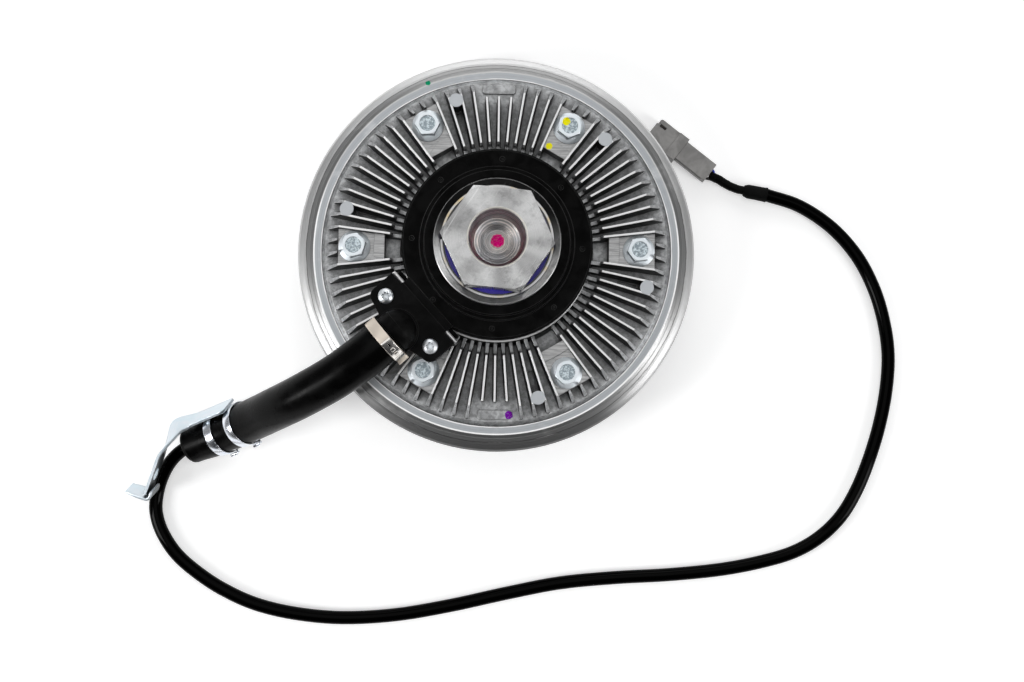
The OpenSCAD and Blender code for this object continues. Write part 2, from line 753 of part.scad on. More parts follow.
// Smooth curve through the points p, with n steps between neighbours
function spline_at(a, b, c, d, t) =
    0.5 * (2 * b + (c - a) * t + (2 * a - 5 * b + 4 * c - d) * t * t
           + (3 * b - a - 3 * c + d) * t * t * t);
function smooth(p, n) =
    let (m = len(p) - 1)
    concat(
        [for (i = [0:m - 1], s = [0:n - 1])
            spline_at(i == 0 ? 2 * p[0] - p[1] : p[i - 1], p[i], p[i + 1],
                      i == m - 1 ? 2 * p[m] - p[m - 1] : p[i + 2], s / n)],
        [p[m]]
    );

spring_turns = 3;
spring_wire_d = 0.8;
spring_r = 2.2;

// Torsion spring on the pivot pin, with one leg on the rotor and one over the lever
module valve_spring() {
    steps = 12;
    y0 = 5;
    y1 = lug_y0 - 0.5;
    coil = [for (i = [0:spring_turns * steps])
        [-valve_x + spring_r * sin(360 * i / steps), y0 + (y1 - y0) * i / (spring_turns * steps),
         valve_z - spring_r * cos(360 * i / steps)]];
    legs = concat([[-valve_x - 5, y0, valve_z - spring_r]], coil,
                  [[-valve_x + 5, y1, valve_z - spring_r]]);
    color("#b9bcbf") swept_tube(legs, [for (p = legs) spring_wire_d], 6, [0, 1, 0]);
}

// Magnet housing with its collar, the winding below it and the lug that carries the arm
winding_r0 = 47;
winding_r1 = 56;
notch_v = 22;
pin_u = coil_r + 0.2;
pin_z = coil_z1 - 3;
mark_r = 1.7;

module arm_frame() {
    at_angle(arm_a) children();
}

module arm_screw_places(z) {
    for (side = [-1, 1]) translate([arm_screw_u, side * arm_screw_v, z]) children();
}

module coil_housing() {
    color("#1b1c1f") difference() {
        union() {
            spun([
                [pole_r + SEAT, coil_z0], [winding_r0 - PLAY, coil_z0],
                [winding_r0 - PLAY, coil_z0 + 9], [winding_r1 + PLAY, coil_z0 + 9],
                [winding_r1 + PLAY, coil_z0], [coil_r - 0.6, coil_z0], [coil_r, coil_z0 + 0.6],
                [coil_r, coil_z1 - 1.2], [coil_r - 1.2, coil_z1], [collar_r1, coil_z1],
                [collar_r1 - 0.4, collar_z1], [collar_r2, collar_z1], [collar_r2 - 0.6, collar_z2],
                [pole_r + SEAT, collar_z2]
            ]);
            arm_frame() translate([coil_r - 4, -arm_half_w + 2, coil_z0 + 1])
                cube([arm_screw_u + 8 - coil_r + 4, 2 * arm_half_w - 4, arm_z - coil_z0 - 1]);
        }
        arm_frame() {
            translate([winding_r1 + 2.8, -notch_v, arm_z]) cube([20, 2 * notch_v, 20]);
            arm_screw_places(arm_z - 5) cylinder(r = 3, h = 5 + CUT, $fn = SMALL);
            translate([(tone_r0 + tone_r1) / 2 + 0.2, 0, coil_z0 - CUT])
                cylinder(r = 2.9, h = 5 + CUT, $fn = SMALL);
        }
        for (i = [0:7]) at_angle(arm_a + i * 45) translate([winding_r1 + 1, 0, coil_z1]) {
            translate([0, 0, -0.2]) cylinder(r = mark_r, h = CUT, $fn = 24);
            translate([0, 0, -1]) cylinder(r = mark_r / 3, h = CUT, $fn = 24);
        }
    }
}

module coil_winding() {
    color("#b5713c") ring(winding_r0, winding_r1, coil_z0 + 2, coil_z0 + 8.7);
}

module coil_potting() {
    color("#2a2b2d") ring(winding_r0 - PLAY + SEAT, winding_r1 + PLAY - SEAT, coil_z0, coil_z0 + 2);
}

module pole_ring() {
    color("#a7a9ab") spun([
        [coil_brg_r - 3.5, coil_z0], [pole_r, coil_z0], [pole_r, pole_z1 - 0.5],
        [pole_r - 0.5, pole_z1], [coil_brg_r + 0.4, pole_z1 - 0.6], [coil_brg_r, pole_z1 - 0.9],
        [coil_brg_r, coil_brg_z1 + clip_t + 0.2], [coil_brg_r + 1.5, coil_brg_z1 + clip_t + 0.2],
        [coil_brg_r + 1.5, coil_brg_z1], [coil_brg_r, coil_brg_z1], [coil_brg_r, coil_brg_z0],
        [coil_brg_r - 3.5, coil_brg_z0]
    ]);
}

module speed_sensor() {
    color("#303236") arm_frame() translate([(tone_r0 + tone_r1) / 2 + 0.2, 0, main_z1 + 2.2])
        cylinder(r = 2.9 - RUN, h = coil_z0 + 3.9 - main_z1 - 2.2, $fn = SMALL);
}

// Plan of the arm, with a straight inner part in the notch and round outer corners
corner_r = 6;
corner_a = 24;
arm_nose = 8.5;
arm_nose_half_w = 16;
arm_in_u = pin_u + arm_pin_r + 0.2;
arm_plan = concat(
    [[winding_r1 + 3.1, -notch_v + PLAY], [arm_in_u, -notch_v + PLAY], [arm_in_u, -arm_half_w]],
    arc(corner_r, -90, -corner_a, 6, [arm_end - arm_nose, -arm_half_w + corner_r]),
    [[arm_end, -arm_nose_half_w], [arm_end, arm_nose_half_w]],
    arc(corner_r, corner_a, 90, 6, [arm_end - arm_nose, arm_half_w - corner_r]),
    [[arm_in_u, arm_half_w], [arm_in_u, notch_v - PLAY], [winding_r1 + 3.1, notch_v - PLAY]]
);

module cable_arm() {
    color("#17181a") arm_frame() difference() {
        translate([0, 0, arm_z]) linear_extrude(arm_t) polygon(arm_plan);
        translate([0, -notch_v, coil_z1]) cube([pin_u, 2 * notch_v, 20]);
        arm_screw_places(arm_z - CUT) cylinder(r = 3.3, h = arm_t + 2 * CUT, $fn = SMALL);
        translate([pin_u, 0, pin_z]) rotate([90, 0, 0])
            cylinder(r = arm_pin_r + RUN, h = 2 * arm_half_w, center = true, $fn = SMALL);
    }
}

module arm_pin() {
    color("#c8ccd0") arm_frame() translate([pin_u, 0, pin_z]) rotate([90, 0, 0])
        cylinder(r = arm_pin_r, h = 2 * arm_half_w, center = true, $fn = SMALL);
}

module arm_screws() {
    head_h = 3.3;
    color("#cfd6da") arm_frame() arm_screw_places(arm_top_z) difference() {
        union() {
            spun(concat([[0, 0], [arm_screw_head_r, 0]],
                        [for (p = arc(1, 15, 75, 6))
                            [arm_screw_head_r * p[0], 0.3 + (head_h - 0.3) * p[1]]],
                        [[0, head_h]]));
            translate([0, 0, -arm_t - 4.5]) cylinder(r = 2.95, h = arm_t + 5, $fn = SMALL);
        }
        translate([0, 0, head_h - 2]) for (a = [0, 60, 120]) at_angle(a)
            cube([5.2, 1.5, 5], center = true);
    }
}

// Route of the hose, from the elbow down to the bracket
hose_route = [
    [-67.5, -64.1, 108.5], [-79.9, -75.6, 107.8], [-91.3, -84.6, 105.3], [-104.1, -93.7, 100.5],
    [-117.9, -101.7, 93], [-131.6, -108.7, 82.4], [-145.2, -114.7, 68.2], [-158.8, -120.4, 51.6],
    [-173.2, -126.5, 37.1], [-188.1, -132.8, 25.8], [-201.3, -138.2, 18.6], [-212, -142.6, 14.7]
];
hose_last = len(hose_route) - 1;
hose_start = hose_route[0];
hose_end = hose_route[hose_last];
hose_dir = unit(hose_route[1] - hose_start);
hose_end_dir = unit(hose_end - hose_route[hose_last - 1]);
hose_widths = [for (i = [0:hose_last])
    i < hose_last - 1 ? hose_d : i == hose_last ? hose_end_d : 0.7 * hose_d + 0.3 * hose_end_d];

// Point and direction of the hose's axis at t, counted in points of its route
function hose_at(t) =
    let (i = floor(t)) hose_route[i] + (t - i) * (hose_route[i + 1] - hose_route[i]);
function hose_dir_at(t) = unit(hose_route[floor(t) + 1] - hose_route[floor(t)]);

// Places children with their z axis along direction d at point p
module along(p, d) {
    translate(p) rotate([0, acos(d[2]), atan2(d[1], d[0])]) children();
}

elbow_u = arm_end - 1.5;
elbow_r = hose_d / 2 - 1.2;
elbow_z = hose_start[2];

module cable_elbow() {
    color("#121315") {
        difference() {
            union() {
                arm_frame() translate([elbow_u, 0, 0]) {
                    translate([0, 0, arm_top_z]) cylinder(r = elbow_r + 1.4, h = 1.6, $fn = ROUND);
                    translate([0, 0, elbow_z]) sphere(r = elbow_r, $fn = ROUND);
                    translate([0, 0, arm_top_z])
                        cylinder(r = elbow_r, h = elbow_z - arm_top_z, $fn = ROUND);
                }
                along(hose_start - 8 * hose_dir, hose_dir) cylinder(r = elbow_r - 0.6, h = 8, $fn = ROUND);
            }
            arm_frame() translate([arm_end - 60, -40, arm_top_z - 40]) cube([60 + PLAY, 80, 40]);
            along(hose_start, hose_dir) cylinder(r = 2 * hose_d, h = 2 * hose_d, $fn = ROUND);
        }
    }
}

clamp_t = 0.9;

module ear_clamp() {
    r = hose_d / 2 + PLAY;
    color("#c9c5bb") along(hose_at(0.28), hose_dir) {
        ring(r, r + clamp_t, -clamp_w / 2, clamp_w / 2);
        at_angle(78) translate([r + clamp_t - 0.2, -4, -clamp_w / 2]) cube([3.4, 8, clamp_w]);
    }
}

module tether_hose() {
    color("#161719") swept_tube(hose_route, hose_widths, 12);
}

plug_reach = 3;
cable_start = hose_end + plug_reach * hose_end_dir;

module hose_plug() {
    mouth_r = cable_d / 2 + 1.2;
    mouth_depth = 1.6;
    color("#101113") along(hose_end, hose_end_dir)
        spun([[0, 0], [hose_end_d / 2 - 0.1, 0], [hose_end_d / 2 - 0.5, plug_reach - 1.2],
              [hose_end_d / 2 - 1.6, plug_reach], [mouth_r, plug_reach],
              [mouth_r, plug_reach - mouth_depth], [0, plug_reach - mouth_depth]]);
}

band_t = 1;
band_places = [8.5, 9.65];

module bracket_bands() {
    r = hose_d / 2 + PLAY;
    color("#cdd6da") for (t = band_places) along(hose_at(t), hose_dir_at(t))
        ring(r, r + band_t, -band_w / 2, band_w / 2);
}

// Bracket strip: a saddle on the bands, a twisted bend, an upright bar and a foot
saddle_len = 31;
saddle_tilt = 20;
saddle_r = hose_d / 2 + 2 * PLAY + band_t;
saddle_c = (hose_at(band_places[0]) + hose_at(band_places[1])) / 2;
saddle_dir = unit(hose_at(band_places[1]) - hose_at(band_places[0]));
bend_c = [-222, -129.5, 25];
bar_c = [-232, -149.5, 23];
bar_a = 253.7;
bar_len = 30.5;
foot_len = 18;
foot_a = 185;

module saddle_frame() {
    along(saddle_c, saddle_dir) at_angle(-saddle_tilt)
        translate([0, -saddle_r - strip_t / 2, 0]) children();
}

module bar_frame() {
    translate(bar_c) at_angle(bar_a) children();
}

module tether_bracket() {
    slab = [0.4, strip_t - 0.1, strip_w - 0.1];
    color("#cbd5d9") {
        saddle_frame() cube([strip_w, strip_t, saddle_len], center = true);
        hull() {
            saddle_frame() translate([0, 0, saddle_len / 2 - 0.4])
                cube([slab[2], slab[1], slab[0]], center = true);
            translate(bend_c) at_angle(230) rotate([-42, 0, 0]) cube(slab, center = true);
        }
        hull() {
            translate(bend_c) at_angle(230) rotate([-42, 0, 0]) cube(slab, center = true);
            bar_frame() translate([0.4, 0, 0]) cube(slab, center = true);
        }
        difference() {
            bar_frame() translate([0, -strip_t / 2, -strip_w / 2]) cube([bar_len, strip_t, strip_w]);
            bar_frame() translate([bar_len / 2, 0, 0]) rotate([90, 0, 0])
                cylinder(r = bar_hole_r, h = strip_t + 2 * CUT, center = true, $fn = SMALL);
        }
        bar_frame() translate([bar_len, 0, 0]) at_angle(foot_a - bar_a) rotate([29, 0, 0]) {
            translate([-4, -strip_t / 2, -strip_w / 2]) cube([foot_len, strip_t, strip_w]);
            translate([-5, -strip_t / 2, -strip_w / 2]) cube([strip_t, 8, strip_w]);
        }
    }
}

// Route of the cable over the table, from the hose plug to the sleeve
floor_c = cable_d / 2 + 0.1;
cable_route = concat([cable_start], [
    [-222, -148.5, 11.2], [-229, -156, 8.4], [-234.5, -166.5, 6.2], [-237.7, -179, 5.1],
    [-237.8, -192, floor_c], [-232.5, -206.5, floor_c], [-221.5, -221.5, floor_c],
    [-206, -234, floor_c], [-187, -245.3, floor_c], [-163, -255, floor_c], [-134, -260.7, floor_c],
    [-100, -262.5, floor_c], [-62, -259, floor_c], [-23, -251, floor_c], [16, -241, floor_c],
    [55, -232, floor_c], [95, -226.7, floor_c], [135, -223, floor_c], [173, -217.7, floor_c],
    [203, -210.7, floor_c], [225, -203, floor_c], [243, -191.8, floor_c], [257.8, -176.5, floor_c],
    [268.8, -157.3, floor_c], [277.5, -134.5, floor_c], [284.5, -109.5, floor_c],
    [289, -83, floor_c], [290, -57, floor_c], [286, -32, floor_c], [278, -8, floor_c],
    [265, 15, floor_c], [246, 35, floor_c], [222, 49.8, 5.1], [197, 57, 5.6]
]);
cable_end = cable_route[len(cable_route) - 1];
sleeve_len = 16.5;
sleeve_dir = unit([-1, 0.15, 0]);
sleeve_r = cable_d / 2 + 0.5;
lead_start_d = 6;
lead_start = cable_end + sleeve_len * sleeve_dir;
// Room between the tilted end faces of two cord pieces
end_room = 0.9;
plug_a = 143.7;
plug_dir = [cos(plug_a), sin(plug_a), 0];
plug_side = [-plug_dir[1], plug_dir[0], 0];
plug_z = 0.3;
plug_wall = 1.6;
wire_pitch = 4;
wires = [-wire_pitch, 0, wire_pitch];
plug_rear = [154.3, 70.4, plug_z + plug_h / 2];
lead_end = plug_rear - 3 * plug_dir + 0.4 * plug_side;
lead_route = [lead_start, [174, 61, 5.2], [167.5, 63.7, 5.2], [161.7, 66.8, 6], lead_end];
lead_widths = [for (i = [0:8]) lead_start_d + (lead_d - lead_start_d) * i / 8];

module sensor_cable() {
    points = smooth(cable_route, 2);
    color("#0f1011") swept_tube(points, [for (p = points) cable_d], 10);
}

module cable_sleeve() {
    color("#141517") along(cable_end, sleeve_dir)
        spun([[0, end_room], [sleeve_r + 0.1, end_room], [sleeve_r, end_room + 1.2],
              [sleeve_r, sleeve_len - 2.5], [lead_start_d / 2 + 0.8, sleeve_len - end_room],
              [0, sleeve_len - end_room]]);
}

module taped_lead() {
    color("#1a1b1d") swept_tube(smooth(lead_route, 2), lead_widths, 10);
}

module plug_frame() {
    translate([plug_rear[0], plug_rear[1], plug_z]) at_angle(plug_a) children();
}

module lead_wires() {
    color("#2440c8") plug_frame() for (y = wires) translate([end_room - 2.6, y, plug_h / 2])
        rotate([0, 90, 0]) cylinder(r = wire_d / 2, h = 4.6 - end_room, $fn = 24);
}

// Section of the plug's rear body, with slanted lower sides
body_section = [
    [-plug_w / 2 + 2, 0], [plug_w / 2 - 2, 0], [plug_w / 2, 4], [plug_w / 2, plug_h],
    [-plug_w / 2, plug_h], [-plug_w / 2, 4]
];

module connector_body() {
    inner_w = plug_w - 2 * plug_wall;
    inner_h = plug_h - 2 * plug_wall;
    color("#8f9193") plug_frame() difference() {
        rotate([90, 0, 90]) linear_extrude(plug_len) polygon(body_section);
        translate([-CUT, -inner_w / 2, plug_wall + 1]) cube([6 + CUT, inner_w, inner_h - 1]);
        translate([10, -inner_w / 2, plug_wall + 1]) cube([plug_len, inner_w, inner_h - 1]);
        for (side = [-1, 1]) translate([3, side * plug_w / 2 - 1, plug_h - 3.3])
            cube([plug_len - 3 + CUT, 2, 1.6]);
        for (y = wires) translate([0, y, plug_h / 2]) rotate([0, 90, 0])
            cylinder(r = wire_d / 2 + 0.4, h = 12, $fn = 24);
    }
}

module connector_shell() {
    w = shell_w / 2;
    color("#85878a") plug_frame() translate([plug_len, 0, 0]) mirror([0, 1, 0]) difference() {
        union() {
            linear_extrude(plug_h - 0.5) polygon([
                [0, -w], [shell_len, -w], [shell_len, w - 5], [shell_len - 2.2, w - 4.2],
                [shell_len - 1.6, w - 3], [shell_len - 2.4, w - 3], [0, w - 3]
            ]);
            linear_extrude(plug_h - 2) polygon([
                [0, w - 3.5], [shell_len - 1, w - 3.5], [shell_len - 1, w - 1], [shell_len - 2, w],
                [0, w]
            ]);
            translate([0, -w, 0]) cube([8.3, shell_w, plug_h]);
        }
        translate([-CUT, plug_wall - w, plug_wall])
            cube([shell_len - plug_wall + CUT, shell_w - 2 * plug_wall - 2, plug_h - 2 * plug_wall - 0.5]);
        translate([shell_len - 5, 4 - w, plug_wall]) cube([10, shell_w - 9, plug_h - 2 * plug_wall - 0.5]);
        translate([shell_len - 8.2, w - 5.9, plug_h - 2.6]) cube([5.4, 2.1, 5]);
        for (x = [0, 7]) translate([10.5 + x, -w - 1.2, plug_wall + 2]) cube([4, 2.4, plug_h]);
    }
}

module connector_wedge() {
    w = 2 * wire_pitch + 3.2;
    color("#d8752a") plug_frame() translate([plug_len + 0.2, -w / 2, plug_h / 2 - 3.6]) difference() {
        cube([14, w, 7.2]);
        for (y = wires) translate([-CUT, w / 2 + y, 3.6]) rotate([0, 90, 0])
            cylinder(r = 1.1, h = 14 + 2 * CUT, $fn = 24);
    }
}

module connector_contacts() {
    color("#c9a54a") plug_frame() for (y = wires) translate([10.3, y, plug_h / 2])
        rotate([0, 90, 0]) cylinder(r = 0.9, h = plug_len + 8, $fn = 24);
}

module connector_seal() {
    w = plug_w - 2 * plug_wall - 0.2;
    color("#c8562c") plug_frame() difference() {
        translate([2.2, -w / 2, plug_wall + 1.1]) cube([3.6, w, plug_h - 2 * plug_wall - 1.2]);
        for (y = wires) translate([0, y, plug_h / 2]) rotate([0, 90, 0])
            cylinder(r = wire_d / 2 + RUN, h = 12, $fn = 24);
    }
}

rear_housing();
front_cover();
rim_seal();
flux_insert();
tone_ring();
fan_bolts();
main_bearing_outer_race();
main_bearing_seals();
main_bearing_circlip();
fluid_wipers();
fill_plug();
input_shaft();
rotor_disc();
reservoir_cover();
reservoir_rivets();
rotor_circlip();
main_bearing_inner_race();
bearing_spacer();
coil_bearing_inner_race();
valve_pivot_pin();
valve_spring();
valve_lever();
armature_ring();
main_bearing_cage();
main_bearing_balls();
coil_bearing_cage();
coil_bearing_balls();
coil_housing();
coil_winding();
coil_potting();
pole_ring();
coil_bearing_outer_race();
coil_bearing_seals();
coil_bearing_circlip();
speed_sensor();
cable_arm();
arm_screws();
arm_pin();
cable_elbow();
ear_clamp();
tether_hose();
hose_plug();
tether_bracket();
bracket_bands();
sensor_cable();
cable_sleeve();
taped_lead();
lead_wires();
connector_body();
connector_shell();
connector_wedge();
connector_contacts();
connector_seal();
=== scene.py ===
"""Looks of a viscous fan clutch that lies on its front cover, with its magnet, hose and cable.

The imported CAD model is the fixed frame. Rigid pieces keep their CAD meshes and get finishes here.
The hose, cable, taped lead, wires, straps and bracket are modelled again in full detail, in the
places of their plain CAD solids.
"""
import functools
import logging
import math
from collections.abc import Callable, Iterable, Mapping, Sequence
from dataclasses import dataclass, field
from enum import Enum

import bmesh
import bpy
from mathutils import Matrix, Vector


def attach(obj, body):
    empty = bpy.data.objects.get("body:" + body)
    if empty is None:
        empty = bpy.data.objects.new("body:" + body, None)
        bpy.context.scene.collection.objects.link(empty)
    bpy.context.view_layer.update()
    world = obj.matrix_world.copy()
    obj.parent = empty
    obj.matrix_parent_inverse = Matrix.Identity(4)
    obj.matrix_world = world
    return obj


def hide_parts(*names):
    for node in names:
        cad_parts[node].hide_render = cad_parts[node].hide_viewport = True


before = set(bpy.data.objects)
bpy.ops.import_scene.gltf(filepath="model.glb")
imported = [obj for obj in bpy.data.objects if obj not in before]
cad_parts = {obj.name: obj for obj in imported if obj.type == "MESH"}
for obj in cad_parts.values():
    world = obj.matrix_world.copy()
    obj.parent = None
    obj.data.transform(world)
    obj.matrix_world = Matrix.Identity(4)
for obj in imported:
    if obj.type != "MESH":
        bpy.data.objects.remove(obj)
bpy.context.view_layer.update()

Colour = tuple[float, float, float, float]
Socket = bpy.types.NodeSocket
Node = bpy.types.Node
Piece = bpy.types.Object
Look = tuple[Socket, Socket, Socket]
Pair = tuple[float, float]
LOG = logging.getLogger("fan_clutch")
MM = 0.001
UP = Vector((0.0, 0.0, 1.0))
MAGNET_BODY = "coil"
FLOAT, VECTOR = "NodeSocketFloat", "NodeSocketVector"


def grey(value: float, blue: float = 0.0) -> Colour:
    """A neutral colour.

    Args:
        value: Lightness, linear.
        blue: How much bluer than neutral it is, or warmer where negative.
    Returns:
        The colour with full alpha.
    """
    return (value * (1 - blue), value, value * (1 + blue), 1.0)


def toned(colour: Colour, factor: float, lift: float = 0.0, most: float = math.inf) -> Colour:
    """A colour made lighter or darker.

    Args:
        colour: The colour.
        factor: What its channels are multiplied by.
        lift: What is then added to them.
        most: The largest value that a channel may have.
    Returns:
        The new colour with full alpha.
    """
    red, green, blue = (min(most, factor * channel + lift) for channel in colour[:3])
    return (red, green, blue, 1.0)


def mm(x: float, y: float, z: float) -> Vector:
    """A point given in millimetres, in metres."""
    return Vector((x, y, z)) * MM


def polar(radius: float, angle: float) -> Pair:
    """The point of a plane at a radius and an angle in radians."""
    return radius * math.cos(angle), radius * math.sin(angle)


def heading(angle: float) -> Vector:
    """Level direction at an angle in radians."""
    return Vector((*polar(1.0, angle), 0.0))


def left_of(ahead: Vector) -> Vector:
    """Level direction to the left of another."""
    return Vector((-ahead.y, ahead.x, 0.0))


def turned(about_z: float, about_x: float) -> Matrix:
    """Turn about X and then about Z, in degrees."""
    return (Matrix.Rotation(math.radians(about_z), 3, "Z")
            @ Matrix.Rotation(math.radians(about_x), 3, "X"))


class Coordinates(Enum):
    """Where a finish takes its pattern from."""

    OBJECT = "Object"
    UV = "UV"


class Graph:
    """Adds nodes to one node tree and wires them."""

    def __init__(self, tree: bpy.types.NodeTree) -> None:
        """Keeps the tree that the nodes go to."""
        self.tree = tree

    def node(self, kind: str, inputs: dict | None = None, **settings: object) -> Node:
        """Adds a node.

        Args:
            kind: Blender's name of the node type.
            inputs: Constants or output sockets for its inputs, by name or index.
            settings: Properties of the node.
        Returns:
            The node.
        """
        made = self.tree.nodes.new(kind)
        for name, value in settings.items():
            setattr(made, name, value)
        for key, value in (inputs or {}).items():
            self.feed(made.inputs[key], value)
        return made

    def feed(self, socket: Socket, value: object) -> None:
        """Links an output to a socket, or sets a constant on it."""
        if isinstance(value, Socket):
            self.tree.links.new(value, socket)
        else:
            socket.default_value = value

    def math(self, operation: str, a: object, b: object = 0.0, clamp: bool = False) -> Socket:
        """Adds a Math node and returns its result."""
        return self.node("ShaderNodeMath", {0: a, 1: b}, operation=operation, use_clamp=clamp).outputs[0]

    def times(self, a: object, b: object) -> Socket:
        """Multiplies two numbers and returns the result."""
        return self.math("MULTIPLY", a, b)

    def span(self, value: Socket, low: float, high: float, to: Pair = (0.0, 1.0),
             smooth: bool = True) -> Socket:
        """Maps low to high onto a new range, clamped.

        Args:
            value: The output to map.
            low: Value that becomes the first end of the range.
            high: Value that becomes the second end of the range.
            to: The new range.
            smooth: Whether the step is eased.
        Returns:
            The mapped value.
        """
        kind = "SMOOTHSTEP" if smooth else "LINEAR"
        return self.node("ShaderNodeMapRange", {0: value, 1: low, 2: high, 3: to[0], 4: to[1]},
                         interpolation_type=kind).outputs[0]

    def span_mm(self, value: Socket, low: float, high: float, to: Pair = (0.0, 1.0),
                smooth: bool = True) -> Socket:
        """Does what span does, for a length whose low and high are given in millimetres."""
        return self.span(value, low * MM, high * MM, to, smooth)

    def mix(self, factor: object, a: object, b: object) -> Socket:
        """Mixes two colours and returns the result."""
        return self.node("ShaderNodeMix", {0: factor, 6: a, 7: b}, data_type="RGBA").outputs[2]

    def laid(self, base: object, *layers: tuple[Socket, Colour | Socket]) -> object:
        """Lays colours over a base, one after another.

        Args:
            base: The colour at the bottom.
            layers: Mask and colour of each layer.
        Returns:
            The colour of them all.
        """
        for mask, colour in layers:
            base = self.mix(mask, base, colour)
        return base

    def mix_numbers(self, factor: object, a: object, b: object) -> Socket:
        """Mixes two numbers and returns the result."""
        return self.node("ShaderNodeMix", {0: factor, 2: a, 3: b}).outputs[0]

    def noise(self, vector: Socket, scale: object, detail: float = 3.0, rough: float = 0.55) -> Socket:
        """Adds a noise texture and returns its value."""
        inputs = {"Vector": vector, "Scale": scale, "Detail": detail, "Roughness": rough}
        return self.node("ShaderNodeTexNoise", inputs).outputs[0]

    def stretched(self, vector: Socket, scale: tuple[float, float, float]) -> Socket:
        """Scales coordinates along each axis."""
        return self.node("ShaderNodeVectorMath", {0: vector, 1: scale}, operation="MULTIPLY").outputs[0]

    def parts(self, vector: Socket) -> tuple[Socket, Socket, Socket]:
        """Splits a vector into its three numbers."""
        made = self.node("ShaderNodeSeparateXYZ", {0: vector})
        return made.outputs[0], made.outputs[1], made.outputs[2]

    def flat(self, vector: Socket) -> Socket:
        """Drops the third number of a vector."""
        x, y, _ = self.parts(vector)
        return self.node("ShaderNodeCombineXYZ", {0: x, 1: y}).outputs[0]

    def away(self, vector: Socket, centre: object) -> Socket:
        """Distance of a vector from a centre."""
        return self.node("ShaderNodeVectorMath", {0: vector, 1: centre},
                         operation="DISTANCE").outputs["Value"]

    def facing(self) -> Socket:
        """How far the surface faces straight up or down: 0 on walls and 1 on flats."""
        normal = self.node("ShaderNodeNewGeometry").outputs["Normal"]
        return self.math("ABSOLUTE", self.parts(normal)[2])

    def bump(self, height: Socket, distance: float, normal: Socket | None = None) -> Socket:
        """Adds a Bump node.

        Args:
            height: The height map.
            distance: Depth of the relief in metres.
            normal: Normal under the relief, if it isn't the surface's own.
        Returns:
            The bent normal.
        """
        inputs = {"Height": height, "Distance": distance, "Strength": 1.0}
        if normal is not None:
            inputs["Normal"] = normal
        return self.node("ShaderNodeBump", inputs).outputs[0]

    def effect(self, tree: bpy.types.NodeTree, **inputs: object) -> list[Socket]:
        """Places a shared effect, sets its inputs by name and returns its outputs in order."""
        made = self.node("ShaderNodeGroup", node_tree=tree)
        for name, value in inputs.items():
            self.feed(made.inputs[name], value)
        return list(made.outputs)


